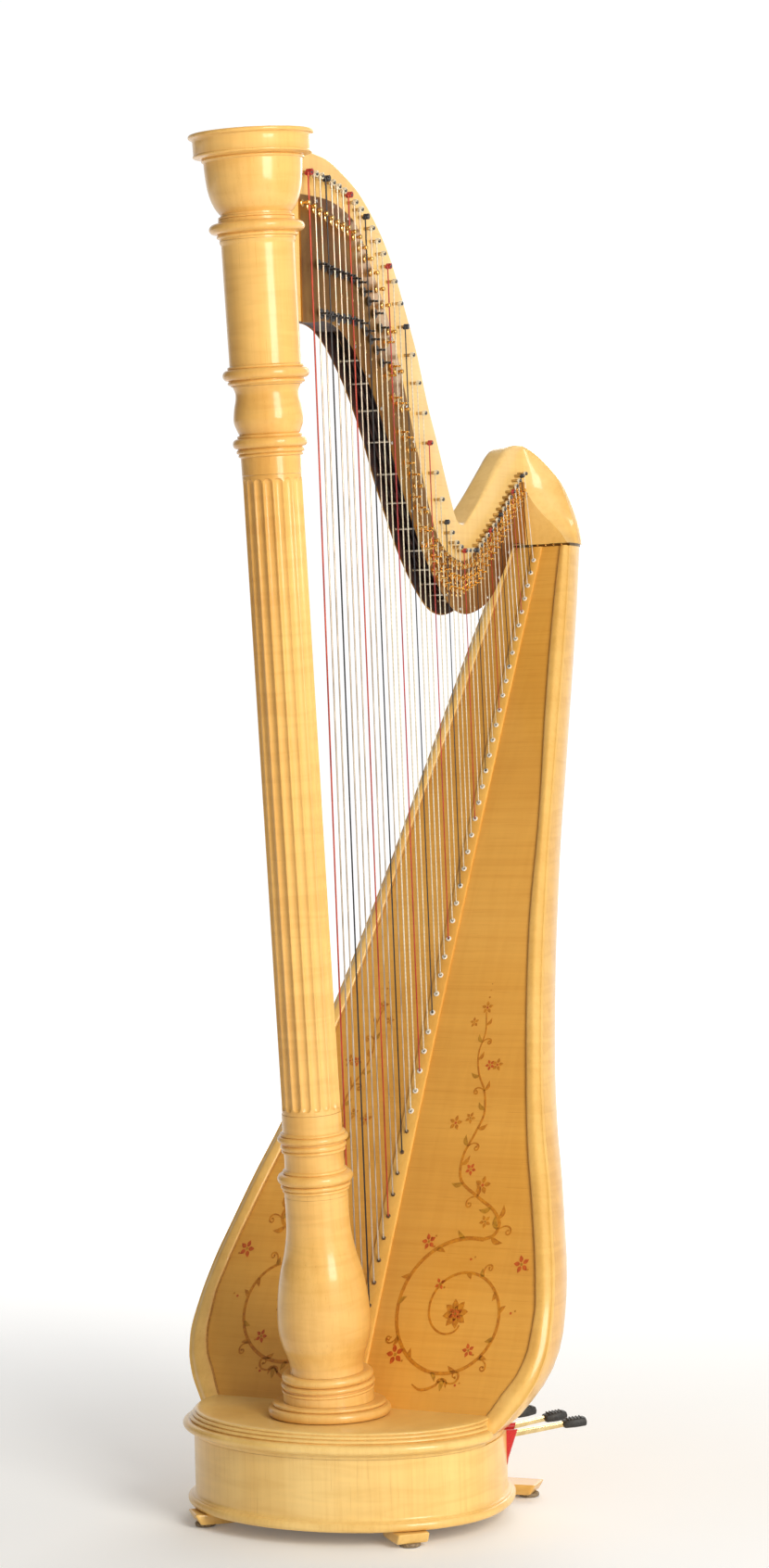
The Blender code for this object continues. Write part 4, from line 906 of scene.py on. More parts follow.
screws = bmesh.new()
fittings = bmesh.new()
for i in range(6, STRINGS):
    # spindle heads beside the discs and the nut's lock screw
    for share, r in ((0.0685, 0.0026), (0.112, 0.0024)):
        e, z = disc_place(i, share)
        if z > between(LOWER_EDGE, e) + 0.005:
            slotted_screw(fittings, at_x(PLATE_OUT, e, z), r)
    e, z = NUTS[i]
    slotted_screw(fittings, at_x(PLATE_OUT, e + 0.0034, z + 0.0072), 0.0019)
finish_mesh("plate_fittings", fittings, NECK, BRASS, ())
top_line = even(catmull(PLATE_TOP, 6), 0.052)
low_line = even(catmull(LOWER_EDGE, 6), 0.056)
for line, d in ((top_line, -0.0058), (low_line, 0.0058)):
    for k in range(1, len(line) - 1):
        t = line[k + 1] - line[k - 1]
        t = t / np.linalg.norm(t)
        nrm = np.array((-t[1], t[0])) * (1 if d > 0 else -1) * abs(d)
        p = line[k] + nrm
        for side in (1, -1):
            m = Matrix.Translation((side * PLATE_OUT, p[0], p[1])) @ Matrix.Rotation(side * math.pi / 2, 4, "Y")
            slotted_screw(screws, m)
finish_mesh("plate_screws", screws, NECK, STEEL, ())

rungs = bmesh.new()
links = bmesh.new()
for k in range(16):
    e = 0.152 + (0.585 - 0.152) * k / 15
    z = between(LOWER_EDGE, e) + 0.020
    lathe_into(rungs, [(0, -0.0184), (0.0034, -0.0184), (0.0034, -0.0164), (0.0019, -0.0160), (0.0019, 0.0160),
                       (0.0034, 0.0164), (0.0034, 0.0182), (0, 0.0182)], 12, at_x(0, e, z))
finish_mesh("plate_spindles", rungs, NECK, RUNG, ())
# links of the action: bars in the channel that follow the lower edge, coloured with the channel's painted shade
for x in (-0.0105, -0.0035, 0.0035, 0.0105):
    pts = [(e, between(LOWER_EDGE, e) + 0.029 + 0.0016 * math.sin(e * 90 + x * 300))
           for e in np.linspace(0.158, 0.590, 44)]
    rows = []
    for e, z in pts:
        rows.append([(x - 0.0013, e, z - 0.0032), (x + 0.0013, e, z - 0.0032),
                     (x + 0.0013, e, z + 0.0032), (x - 0.0013, e, z + 0.0032)])
    add_grid(links, rows, wrap_v=True)
finish_mesh("action_links", links, NECK, CHANNEL_SHADE, ())

# painted shade: a dark sheet on the inner face of the far plate, seen through the channel
lin = bmesh.new()
rows = []
for e in np.linspace(0.070, 0.672, 110):
    z = between(LOWER_EDGE, e)
    rise = 0.0012 + 0.046 * smooth_step(0.070, 0.150, e) * (1 - smooth_step(0.600, 0.680, e))
    zt = z + max(0.0014, rise - 0.0006)
    rows.append([(-0.0180, e, z + 0.0008), (-0.0174, e, z + 0.0008), (-0.0174, e, zt), (-0.0180, e, zt)])
add_grid(lin, rows, wrap_v=True)
finish_mesh("channel_shade_sheet", lin, NECK, CHANNEL_SHADE, ())


# ==================================================================== strings
def rod_into(bm, a, b, r, sides=10, mat=0, caps=True):
    a, b = Vector(a), Vector(b)
    q = (b - a).to_track_quat("Z", "X").to_matrix()
    rows = [[p + q @ Vector((r * math.cos(2 * math.pi * k / sides), r * math.sin(2 * math.pi * k / sides), 0))
             for k in range(sides)] for p in (a, b)]
    add_grid(bm, rows, wrap_v=True, cap=caps, mat=mat)


groups = {"wire": (0, 11, "wire_strings", (WIRE_PLAIN, WIRE_RED, WIRE_BLACK)),
          "gut": (12, 34, "gut_strings", (GUT_PLAIN, GUT_RED, GUT_BLACK)),
          "nylon": (35, 46, "nylon_strings", (NYLON_PLAIN, GUT_RED, GUT_BLACK))}
for g, (first, last, sl, mats) in groups.items():
    bms = {"plain": bmesh.new(), "red": bmesh.new(), "black": bmesh.new()}
    for i in range(first, last + 1):
        z = eyelet(i)
        low = line_point(i, z + 0.0005) + Vector((0, -0.0014, 0))
        rod_into(bms[kind(i)], low, line_point(i, PINS[i][1]), max(string_radius(i), 0.00055), 8)
    for n_, (col, b_) in enumerate(bms.items()):
        if b_.verts:
            finish_mesh("strings_%s_%s" % (g, col), b_, ROOT, mats[n_],
                        ("strings_" + g,) if col == "plain" else ())
        else:
            b_.free()

# eyelets on the centre strip: white washers from the first gut string up
eyes = bmesh.new()
for i in range(STRINGS):
    z = eyelet(i)
    g = 0.5372 + 2 * 0.0198 * z
    nrm = Vector((0, -1.0, g)).normalized()
    p = Vector((0, board_y(z) - 0.0046, z))
    q = nrm.to_track_quat("Z", "X").to_matrix().to_4x4()
    m = Matrix.Translation(p) @ q
    r = 0.0044 - 0.0009 * i / 46 if i >= 12 else 0.0030
    lathe_into(eyes, [(0, 0.0), (r, 0.0), (r * 1.02, 0.0006), (r * 0.84, 0.0017), (r * 0.60, 0.0019),
                      (r * 0.50, 0.0012), (0, 0.0010)], 18, m, mat=0 if i >= 12 else 1)
    # dark centre disc: painted shade standing in for the hole the string passes through
    lathe_into(eyes, [(0, 0.0008), (r * 0.44, 0.0010), (r * 0.40, 0.0015), (0, 0.0017)], 12, m, mat=1)
finish_mesh("eyelets", eyes, ROOT, [WHITE, EYE_DARK], ())


# ================================================================== soundbox
BOARD_HALF = Smooth(((0.118, 0.205), (0.1304, 0.2242), (0.149, 0.240),
                     (0.1748, 0.2584), (0.2013, 0.2699), (0.2337, 0.2753),
                     (0.2691, 0.2726), (0.319, 0.2640), (0.372, 0.2493),
                     (0.4404, 0.2290), (0.4927, 0.2109), (0.570, 0.1885),
                     (0.6537, 0.1690), (0.7459, 0.1495), (0.8134, 0.1370),
                     (0.8897, 0.1236), (0.9921, 0.1083), (1.0729, 0.0960),
                     (1.1714, 0.0810), (1.2436, 0.0690), (1.335, 0.0520)))
PANEL_HALF = Smooth(((0.118, 0.172), (0.1511, 0.2065), (0.1772, 0.2225), (0.2033, 0.2390), (0.2380, 0.2474),
                     (0.2728, 0.2470), (0.3163, 0.2390), (0.4119, 0.2120), (0.4901, 0.1870),
                     (0.6000, 0.1590), (0.7075, 0.1350), (0.7944, 0.1185), (0.9248, 0.1010),
                     (1.0899, 0.0720), (1.2300, 0.0500), (1.3247, 0.0380), (1.335, 0.0370)))


def body_rear(z):
    return 0.255 + (z - 0.149) * 0.560 / 1.186


def body_arc(z, inset=0.0, n=49, power=2.3):
    w = BOARD_HALF(z) - inset
    yf = board_y(z) + BOARD_T + GAP
    yr = body_rear(z) - inset
    pts = []
    for i in range(n):
        t = math.pi * i / (n - 1)
        c, s = math.cos(t), math.sin(t)
        pts.append((w * math.copysign(abs(c) ** (2 / power), c),
                    yf + (yr - yf) * max(0.0, s) ** (2 / power), z))
    return pts


# soundboard panel with a band of painted shade along its groove, and a rounded rim
zs = [0.118 + (1.335 - 0.118) * (k / 120) ** 1.25 for k in range(121)]
rows, tags = [], None
for z in zs:
    p, w, y = PANEL_HALF(z), BOARD_HALF(z), board_y(z)
    p = min(p, w - 0.012)
    span = w - p
    side = []
    # from the middle outwards: (x, depth in front of the board, tag)
    for t in (0.0, 0.33, 0.66, 0.93):
        side.append((p * t, 0.0, 0))
    # tag 1 is the groove band, coloured with painted shade
    side += [(p - 0.0022, 0.0, 0), (p - 0.0010, -0.0002, 1), (p, -0.0002, 1), (p + 0.0005, 0.0012, 1),
             (p + 0.0010, 0.0028, 2), (p + 0.0020, 0.0042, 2), (p + 0.0036, 0.0053, 2)]
    for k in range(1, 11):
        t = k / 11
        side.append((p + 0.0036 + (span - 0.0042) * t, 0.0053 + 0.0012 * math.sin(math.pi * min(1.0, t * 1.3))
                     - 0.0066 * smooth_step(0.42, 1.0, t) ** 1.3, 2))
    side.append((w - 0.0004, -0.0010, 2))
    side.append((w, -0.0026, 2))
    front = [(x, y - d, z) for x, d, _ in side]
    mirror = [(-x, y_, z_) for x, y_, z_ in front[::-1]][:-1]
    back = [(w, y + BOARD_T, z), (-w, y + BOARD_T, z)]
    rows.append(mirror + front + back)
    tg = [s[2] for s in side]
    left = [tg[k] for k in range(len(tg) - 2, -1, -1)]
    tags = left + tg[:-1] + [2, 2, 2]
bm = bmesh.new()
add_grid(bm, rows, wrap_v=True, mats=tags)
finish_mesh("soundboard_panel", bm, ROOT, [SPRUCE, GROOVE_SHADE, RIM], ("soundboard",), angle=50)

# rounded back: shell and bottom block in one sweep, hollow, with sound holes
zs = [0.1180, 0.1186, 0.1200, 0.1225] + [0.126 + (BODY_Z1 - 0.126) * (k / 46) ** 1.15 for k in range(47)]
rows = []
for z in zs:
    r = 0.0
    if z < 0.1225:
        r = 0.004 * (1 - math.sqrt(max(0.0, 1 - ((0.1225 - z) / 0.0045) ** 2)))
    outer = body_arc(z, r)
    zi = max(z, 0.150)
    inner = [(x, y, zi) for x, y, _ in body_arc(zi, 0.006)][::-1]
    rows.append(outer + inner)
bm = bmesh.new()
add_grid(bm, rows, wrap_v=True, cap=False)
bm.verts.ensure_lookup_table()
n = len(rows[0])
first = [bm.verts[k] for k in range(n)]
last = [bm.verts[len(bm.verts) - n + k] for k in range(n)]
h = n // 2
for row in (first, last):
    for k in range(h - 1):
        a, b = row[k], row[k + 1]
        c, d = row[n - 2 - k], row[n - 1 - k]
        try:
            bm.faces.new((a, b, c, d))
        except ValueError:
            pass
shell = finish_mesh("soundbox_back", bm, ROOT, [MAPLE_SHELL, INNER],
                    ("soundbox_shell", "body_bottom_block"), angle=45)
SOUND_HOLES = ((0.36, 0.095, 0.060), (0.56, 0.090, 0.050), (0.76, 0.080, 0.042),
               (0.95, 0.070, 0.034), (1.12, 0.055, 0.026))
tilt = math.atan((0.815 - 0.255) / (BODY_Z1 - 0.149))
cut_bm = bmesh.new()
ring_bm = bmesh.new()
for z, hh, ww in SOUND_HOLES:
    m = ROOT @ Matrix.Translation((0, body_rear(z), z)) @ Matrix.Rotation(math.pi / 2 - tilt, 4, "X")
    bmesh.ops.create_cone(cut_bm, cap_ends=True, segments=48, radius1=0.5, radius2=0.5, depth=0.05,
                          matrix=m @ Matrix.Diagonal((ww, hh, 1.0, 1.0)))
    # a turned ring that finishes the edge of the hole
    rows = []
    for k in range(56):
        t = 2 * math.pi * k / 56
        c, s = math.cos(t), math.sin(t)
        nx, ny = c / ww, s / hh
        l = math.hypot(nx, ny)
        out = Vector((nx / l, ny / l, 0))
        base = Vector((c * ww / 2, s * hh / 2, 0))
        x_, y_ = base.x, base.y
        zz = body_rear(z)
        sec = []
        for a, hgt in ((-0.0002, -0.0075), (-0.0002, 0.0008), (0.0010, 0.0018), (0.0030, 0.0018), (0.0042, 0.0006),
                       (0.0042, -0.0030), (0.0008, -0.0075)):
            q = base + out * a
            # follow the rounded back sideways
            drop = 0.0
            wz = BOARD_HALF(z)
            depth = body_rear(z) - board_y(z) - BOARD_T
            f = min(0.999, abs(q.x) / wz)
            drop = depth * (1 - (1 - f ** 2.3) ** (1 / 2.3)) * math.cos(tilt)
            sec.append(m.inverted() @ m @ Vector((q.x, q.y, -(hgt - drop))))
        rows.append([m @ v for v in sec])
    add_grid(ring_bm, rows, wrap_u=True, wrap_v=True)
cutter_mesh = bpy.data.meshes.new("hole_cutter")
cut_bm.to_mesh(cutter_mesh)
cut_bm.free()
cutter = bpy.data.objects.new("hole_cutter", cutter_mesh)
bpy.context.scene.collection.objects.link(cutter)
mod = shell.modifiers.new("holes", "BOOLEAN")
mod.operation, mod.solver, mod.object = "DIFFERENCE", "EXACT", cutter
bpy.context.view_layer.update()
dg = bpy.context.evaluated_depsgraph_get()
holed = bpy.data.meshes.new_from_object(shell.evaluated_get(dg))
shell.modifiers.clear()
old = shell.data
shell.data = holed
bpy.data.meshes.remove(old)
bpy.data.objects.remove(cutter)
bpy.data.meshes.remove(cutter_mesh)
shell.data.shade_smooth()
shell.data.set_sharp_from_angle(angle=math.radians(40))
finish_mesh("sound_hole_rings", ring_bm, Matrix.Identity(4), STRIP, ())

# centre strip
rows = []
for k in range(61):
    z = 0.1700 + (1.3345 - 0.1700) * k / 60
    y = board_y(z)
    w = 0.0130 + (0.0075 - 0.0130) * k / 60
    rows.append([(w, y + 0.0006, z), (w, y - 0.0022, z), (w - 0.0006, y - 0.0037, z), (w - 0.0022, y - 0.0045, z),
                 (-w + 0.0022, y - 0.0045, z), (-w + 0.0006, y - 0.0037, z), (-w, y - 0.0022, z), (-w, y + 0.0006, z)])
bm = bmesh.new()
add_grid(bm, rows, wrap_v=True)
finish_mesh("middle_strip", bm, ROOT, STRIP, ("centre_strip",), angle=30)

# shoulder: swept block that grows from the neck's slab to the body's width
SHOULDER = ((1.3380, 0.0490, 0.0510, -0.0510, 0.8150),
            (1.3600, 0.0330, 0.0480, -0.0535, 0.8160),
            (1.3850, 0.0080, 0.0420, -0.0560, 0.8130),
            (1.4100, -0.0110, 0.0340, -0.0572, 0.8050),
            (1.4320, -0.0205, 0.0250, -0.0574, 0.7940),
            (1.4540, -0.0216, 0.0120, -0.0574, 0.7740),
            (1.4700, -0.0218, 0.0000, -0.0572, 0.7560),
            (1.4820, -0.0222, -0.0120, -0.0565, 0.7400),
            (1.4890, -0.0260, -0.0230, -0.0530, 0.7320))


def shoulder_ring(z, x0, xn, far, rear):
    def front(x):
        return 0.7275 + 0.0556 * x
    ym = min(front(xn) + 0.030, (front(xn) + rear) / 2)
    pts = []
    for k in range(9):
        x = far + (x0 - far) * k / 8
        pts.append((x, front(x)))
    c = (x0 + 0.25 * (xn - x0), front(x0) + 0.65 * (ym - front(x0)))
    for k in range(1, 11):
        t = k / 10
        a, b, d = (1 - t) ** 2, 2 * t * (1 - t), t * t
        pts.append((a * x0 + b * c[0] + d * xn, a * front(x0) + b * c[1] + d * ym))
    mid_ = (xn + far) / 2
    for k in range(1, 32):
        t = math.pi * k / 32
        co_, si = math.cos(t), math.sin(t)
        pts.append((mid_ + (xn - mid_) * math.copysign(abs(co_) ** 0.8, co_),
                    ym + (rear - ym) * si ** 0.8))
    for k in range(1, 5):
        pts.append((far, ym + (front(far) - ym) * (k - 1) / 4))
    return [(x, y, z) for x, y in pts]


cols = [Smooth([(r[0], r[c]) for r in SHOULDER]) for c in (1, 2, 3, 4)]
zs = [1.3380 + (1.4820 - 1.3380) * k / 26 for k in range(27)] + [1.4850, 1.4872, 1.4885, 1.4890]
rows = [shoulder_ring(z, *[f(z) for f in cols]) for z in zs]
bm = bmesh.new()
add_grid(bm, rows, wrap_v=True)
finish_mesh("shoulder", bm, ROOT, MAPLE_FLAT, ("shoulder_block",), angle=50)

# metal strip between shoulder and body, with small screws
rows = []
for z, inset in ((1.3342, 0.0008), (1.3345, -0.0009), (1.3385, -0.0009), (1.3388, 0.0008)):
    pts = body_arc(BODY_Z1, inset, 49)
    yf = board_y(BODY_Z1) - 0.0003 + inset
    w = BOARD_HALF(BODY_Z1) - inset
    rows.append([(w, yf, z)] + [(x, y, z) for x, y, _ in pts] + [(-w, yf, z)])
bm = bmesh.new()
add_grid(bm, rows, wrap_v=True)
for k in range(7):
    x = -0.040 + 0.080 * k / 6
    slotted_screw(bm, Matrix.Translation((x, board_y(BODY_Z1) - 0.0013, 1.3365)) @ Matrix.Rotation(math.pi / 2, 4, "X"), 0.0016, 1)
finish_mesh("shoulder_joint", bm, ROOT, [JOINT_BRASS, BRASS], ("shoulder_strip",))


# ======================================================================= base
def base_plan(radius, n=144):
    pts = []
    for i in range(n):
        t = 2 * math.pi * i / n
        s = math.sin(t)
        pts.append((radius * math.cos(t) * BASE_WIDE,
                    BASE_CY + radius * s * (BASE_REAR if s > 0 else BASE_FRONT)))
    return pts


def plan_rings(profile, flat=lambda y, r: r):
    return [[(x, y, z) for x, y in base_plan(r)] for r, z in profile]


# wall with its foot moulding; the slots are cut below
prof = [(0.173, 0.1147), (0.185, 0.1147), (0.185, 0.0385)]
for k in range(9):
    t = math.pi / 2 * k / 8
    prof.append((0.185 + 0.0040 * (1 - math.cos(t)), 0.0385 - 0.0045 * math.sin(t)))
prof += [(0.1895, 0.0335)]
for k in range(13):
    t = math.pi * k / 12
    prof.append((0.1895 + 0.0046 * math.sin(t), 0.0269 + 0.0061 * math.cos(t)))
prof += [(0.1885, 0.0204), (0.173, 0.0204)]
bm = bmesh.new()
add_grid(bm, plan_rings(prof), wrap_u=True, wrap_v=True)
wall = finish_mesh("base_wall", bm, ROOT, [MAPLE_BASE, INNER], ("base_drum",), angle=35)

PEDALS = (("d", 0.2815, 0.215), ("c", 0.235, 0.250), ("b", 0.175, 0.275),
          ("e", -0.115, 0.285), ("f", -0.170, 0.275), ("g", -0.225, 0.250),
          ("a", -0.2815, 0.215))
PIVOT_R, PIVOT_Z, PEDAL_SLOPE, LEVER_FRONT = 0.115, 0.089, math.radians(7.3), 0.054


def frame_at(x, y, z, phi, slope=0.0):
    d = Vector((math.cos(phi) * math.cos(slope), math.sin(phi) * math.cos(slope), math.sin(slope)))
    u = Vector((-math.cos(phi) * math.sin(slope), -math.sin(phi) * math.sin(slope), math.cos(slope)))
    w = d.cross(u)
    m = Matrix((d, u, w)).transposed().to_4x4()
    return Matrix.Translation((x, y, z)) @ m


def outline_into(bm, outline, half, matrix, plane="du"):
    def place(p, s):
        a, b = p
        v = Vector((a, b, s)) if plane == "du" else Vector((s, b, a))
        return bm.verts.new(matrix @ v)
    lo = [place(p, -half) for p in outline]
    hi = [place(p, half) for p in outline]
    k_ = len(outline)
    bm.faces.new(lo[::-1])
    bm.faces.new(hi)
    for k in range(k_):
        bm.faces.new((lo[k], lo[(k + 1) % k_], hi[(k + 1) % k_], hi[k]))


def wall_point(phi):
    ex, ey = math.cos(phi), math.sin(phi)
    t = 0.0
    for _ in range(400):
        t += 0.001
        s = (t * ey - BASE_CY) / (BASE_REAR if t * ey > BASE_CY else BASE_FRONT)
        if math.hypot(t * ex / BASE_WIDE, s) > 0.1785:
            break
    return t


cut_bm, felt_bm = bmesh.new(), bmesh.new()
for name, px, py in PEDALS:
    phi = math.atan2(py, px)
    t = wall_point(phi)
    mw = frame_at(t * math.cos(phi), t * math.sin(phi), 0.0, phi)
    arc_pts = [(0.0128 * math.cos(a), 0.0765 + 0.0128 * math.sin(a))
               for a in [math.pi + math.pi * k / 12 for k in range(13)]]
    outline_into(cut_bm, arc_pts + [(0.0128, 0.130), (-0.0128, 0.130)], 0.030, mw, "wu")
    o_ = [(0.0125 * math.cos(a), 0.0765 + 0.0125 * math.sin(a)) for a in [math.pi + math.pi * k / 12 for k in range(13)]]
    i_ = [(0.0093 * math.cos(a), 0.0765 + 0.0093 * math.sin(a)) for a in [2 * math.pi - math.pi * k / 12 for k in range(13)]]
    rows = []
    loop = o_ + [(0.0125, 0.1142), (0.0093, 0.1142)] + i_ + [(-0.0093, 0.1142), (-0.0125, 0.1142)]
    # swelled ends: the felt rolls out of the slot on both sides of the wall
    for s_, g_ in ((-0.0112, 0.86), (-0.0104, 1.0), (0.0112, 1.0), (0.0126, 0.94), (0.0131, 0.80)):
        rows.append([mw @ Vector((s_ - (0.0062 * (1 - smooth_step(0.088, 0.094, b)) if s_ > 0 else 0.0)
                                  + (0.0075 * smooth_step(0.092, 0.098, b) if s_ > 0 else 0.0),
                                  0.090 + (b - 0.090) * (1 if g_ > 0.9 else 0.98), a * g_)) for a, b in loop])
    add_grid(felt_bm, rows, wrap_v=True)
cm = bpy.data.meshes.new("slot_cutter")
bmesh.ops.recalc_face_normals(cut_bm, faces=cut_bm.faces)
cut_bm.to_mesh(cm)
cut_bm.free()
co_ = bpy.data.objects.new("slot_cutter", cm)
bpy.context.scene.collection.objects.link(co_)
co_.matrix_world = ROOT
mod = wall.modifiers.new("slots", "BOOLEAN")
mod.operation, mod.solver, mod.object = "DIFFERENCE", "EXACT", co_
bpy.context.view_layer.update()
dg = bpy.context.evaluated_depsgraph_get()
new = bpy.data.meshes.new_from_object(wall.evaluated_get(dg))
wall.modifiers.clear()
old = wall.data
wall.data = new
bpy.data.meshes.remove(old)
bpy.data.objects.remove(co_)
bpy.data.meshes.remove(cm)
wall.data.shade_smooth()
wall.data.set_sharp_from_angle(angle=math.radians(35))
finish_mesh("slot_felts", felt_bm, ROOT, FELT, ("pedal_slot_felts",), angle=60)

# deck with its stepped front moulding; the rear half is plain
prof = [(0.1700, 0.1490), (0.1803, 0.1490)]


def reed(z1, z0, r1, r0, swell, n=7):
    for k in range(n + 1):
        t = math.pi * k / n
        prof.append((r1 + (r0 - r1) * k / n + swell * math.sin(t), (z1 + z0) / 2 + (z1 - z0) / 2 * math.cos(t)))


reed(0.1489, 0.1458, 0.1806, 0.1822, 0.0020)
prof.append((0.1822, 0.1453))
reed(0.1450, 0.1412, 0.1834, 0.1852, 0.0026)
prof.append((0.1850, 0.1406))
reed(0.1402, 0.1362, 0.1868, 0.1884, 0.0028)
prof += [(0.1880, 0.1356), (0.1890, 0.1352)]
reed(0.1348, 0.1216, 0.1918, 0.1905, 0.0076, 14)
prof += [(0.1892, 0.1211), (0.1890, 0.1202), (0.1878, 0.1196)]
prof += [(0.1872 - 0.0017 * math.sin(math.pi / 2 * k / 5), 0.1192 - 0.0040 * (1 - math.cos(math.pi / 2 * k / 5))) for k in range(6)]
prof += [(0.1700, 0.1150)]
rings = []
for r, z in prof:
    full, bare = base_plan(r), base_plan(min(r, 0.183))
    ring = []
    for (x, y), (u, v) in zip(full, bare):
        k = 1 - smooth_step(0.030, 0.042, y)
        ring.append((u + (x - u) * k, v + (y - v) * k, z))
    rings.append(ring)
bm = bmesh.new()
add_grid(bm, rings, wrap_v=True)
finish_mesh("base_deck", bm, ROOT, MAPLE_BASE, ("base_top",), angle=35)


# ======================================================================= feet
def rounded_box_into(bm, size, radius, matrix, n=4, mat=0, shape=None):
    """Box with rounded edges all round, by pushing a fine cube outwards."""
    cube = bmesh.new()
    bmesh.ops.create_cube(cube, size=2.0)
    bmesh.ops.subdivide_edges(cube, edges=cube.edges, cuts=2 * n, use_grid_fill=True)
    hx, hy, hz = (s / 2 for s in size)
    for v in cube.verts:
        p = []
        for c, h_ in zip(v.co, (hx, hy, hz)):
            # spread the cuts so that most of them fall on the rounded edges
            a = abs(c)
            a = 1 - (1 - a) * 0.25 if a > 0.25 else a * 3.25 * 0.25 / 0.25 * 0.25
            p.append(math.copysign(a * h_, c))
        inner = Vector([clamp(q, -(h_ - radius), h_ - radius) for q, h_ in zip(p, (hx, hy, hz))])
        d = Vector(p) - inner
        if d.length > 1e-9:
            # keep flats flat and corners on a sphere
            d = d.normalized() * radius
            q = inner + d
        else:
            q = inner
        v.co = q
    if shape:
        for v in cube.verts:
            v.co = shape(v.co)
    bmesh.ops.recalc_face_normals(cube, faces=cube.faces)
    tmp = bpy.data.meshes.new("tmp")
    cube.to_mesh(tmp)
    cube.free()
    start = len(bm.verts)
    fstart = len(bm.faces)
    bm.from_mesh(tmp)
    bpy.data.meshes.remove(tmp)
    bm.verts.ensure_lookup_table()
    bm.faces.ensure_lookup_table()
    bmesh.ops.transform(bm, matrix=matrix, verts=bm.verts[start:])
    for f in bm.faces[fstart:]:
        f.material_index = mat


FEET = (("front_string_side", 0.1545, -0.0735, 0.064, -0.013, -44),
        ("front_far_side", -0.1545, -0.0735, 0.064, -0.013, -136),
        ("rear_string_side", 0.177, 0.2445, 0.112, -0.040, 8),
        ("rear_far_side", -0.177, 0.2445, 0.112, -0.040, 172))
for name, fx, fy, length, back, turn in FEET:
    ang = math.radians(turn)
    bm = bmesh.new()
    c_ = Vector((fx, fy, 0.0127)) + back * Vector((math.cos(ang), math.sin(ang), 0))
    half = length / 2

    def foot_shape(v, half=half):
        t = clamp((v.x + half) / (2 * half))
        # the toe is cut back underneath and narrows a little
        low = clamp(0.5 - v.z / 0.0146)
        k = smooth_step(1 - 0.018 / half, 1.0, t)
        return Vector((v.x - 0.0085 * k * low, v.y * (1 - 0.05 * smooth_step(0.5, 1.0, t)), v.z))
    rounded_box_into(bm, (length, 0.0458, 0.0146), 0.0026, Matrix.Translation(c_) @ Matrix.Rotation(ang, 4, "Z"),
                     shape=foot_shape)
    lathe_into(bm, [(0, 0.0), (0.0118, 0.0), (0.0134, 0.0008), (0.0140, 0.0022), (0.0140, 0.0046), (0.0132, 0.0054),
                    (0.0120, 0.0060), (0, 0.0062)], 32, Matrix.Translation((fx, fy, 0)), mat=1)
    finish_mesh("foot_" + name + "_block", bm, ROOT, [MAPLE_BASE, GLIDE], ("foot_" + name,), angle=45)

# ===================================================================== pedals
for name, px, py in PEDALS:
    phi = math.atan2(py, px)
    reach = math.hypot(px, py)
    m = ROOT @ frame_at(PIVOT_R * math.cos(phi), PIVOT_R * math.sin(phi), PIVOT_Z, phi, PEDAL_SLOPE)
    a0, a1 = LEVER_FRONT - PIVOT_R, reach - 0.0345 - PIVOT_R
    bm = bmesh.new()
    rows = []
    stations = [(a0, 0.0030, 0.0034), (a0 + 0.003, 0.0036, 0.0037), (-0.016, 0.0044, 0.0037), (-0.007, 0.0062, 0.0037),
                (0.0, 0.0070, 0.0037), (0.007, 0.0062, 0.0037), (0.016, 0.0046, 0.0037), (0.045, 0.0042, 0.0037),
                (a1 - 0.030, 0.0040, 0.0037), (a1 - 0.010, 0.0037, 0.0037), (a1 + 0.020, 0.0034, 0.0034)]
    for x, hu, hw in stations:
        ring = []
        for k in range(20):
            t = 2 * math.pi * k / 20
            c, s = math.cos(t), math.sin(t)
            ring.append((x, hu * math.copysign(abs(s) ** 0.45, s), hw * math.copysign(abs(c) ** 0.45, c)))
        rows.append(ring)
    add_grid(bm, rows, wrap_v=True)
    # pivot bush on both sides
    for s in (1, -1):
        lathe_into(bm, [(0, 0.0035), (0.0046, 0.0035), (0.0046, 0.0040), (0.0036, 0.0043), (0, 0.0043)], 20,
                   Matrix.Rotation(0 if s > 0 else math.pi, 4, "X"), mat=0)
    finish_mesh("pedal_lever_" + name, bm, m, BRASS_LEVER, ("pedal_" + name,),
                body="pedal_%s_lever" % name, angle=50)
    bm = bmesh.new()
    cx = reach - 0.017 - PIVOT_R

    def cap_shape(v):
        t = clamp((v.x + 0.017) / 0.034)
        drop = 0.0022 * smooth_step(0.35, 1.0, t)
        w = 1.0 - 0.12 * smooth_step(0.6, 1.0, t) - 0.10 * (1 - smooth_step(0.0, 0.3, t))
        return Vector((v.x, v.y * (0.82 + 0.18 * smooth_step(0.0, 0.45, t)) - drop * 0.4, v.z * w))
    rounded_box_into(bm, (0.034, 0.013, 0.021), 0.0052, Matrix.Translation((cx, 0, 0)), n=5, shape=cap_shape)
    # ribs across the tread
    for k in range(5):
        x = cx - 0.009 + 0.0045 * k
        rounded_box_into(bm, (0.0020, 0.0022, 0.0150), 0.0009,
                         Matrix.Translation((x, 0.0062 - 0.0004 * k * 0.4, 0)), n=2)
    finish_mesh("pedal_pad_" + name, bm, m, RUBBER, ("pedal_cap_" + name,),
                body="pedal_%s_lever" % name, angle=50)

# ============================================ rods, brackets and inner pieces
for n_, (name, px, py) in enumerate(PEDALS):
    a = math.radians(90 - 360 * (n_ + 0.5) / 7)
    bm = bmesh.new()
    length = 1.618
    lathe_into(bm, [(0, 0), (0.0012, 0), (0.0019, 0.0012), (0.0019, length - 0.0012), (0.0012, length), (0, length)], 16,
               Matrix.Identity(4))
    # clevis at the lower end
    rounded_box_into(bm, (0.0050, 0.0040, 0.0120), 0.0009, Matrix.Translation((0, 0, 0.0062)), n=2)
    finish_mesh("rod_wire_" + name, bm, COLUMN @ Matrix.Translation((0.016 * math.cos(a), 0.016 * math.sin(a), -0.066)),
                STEEL, ("pedal_rod_" + name,), body="rod_" + name)

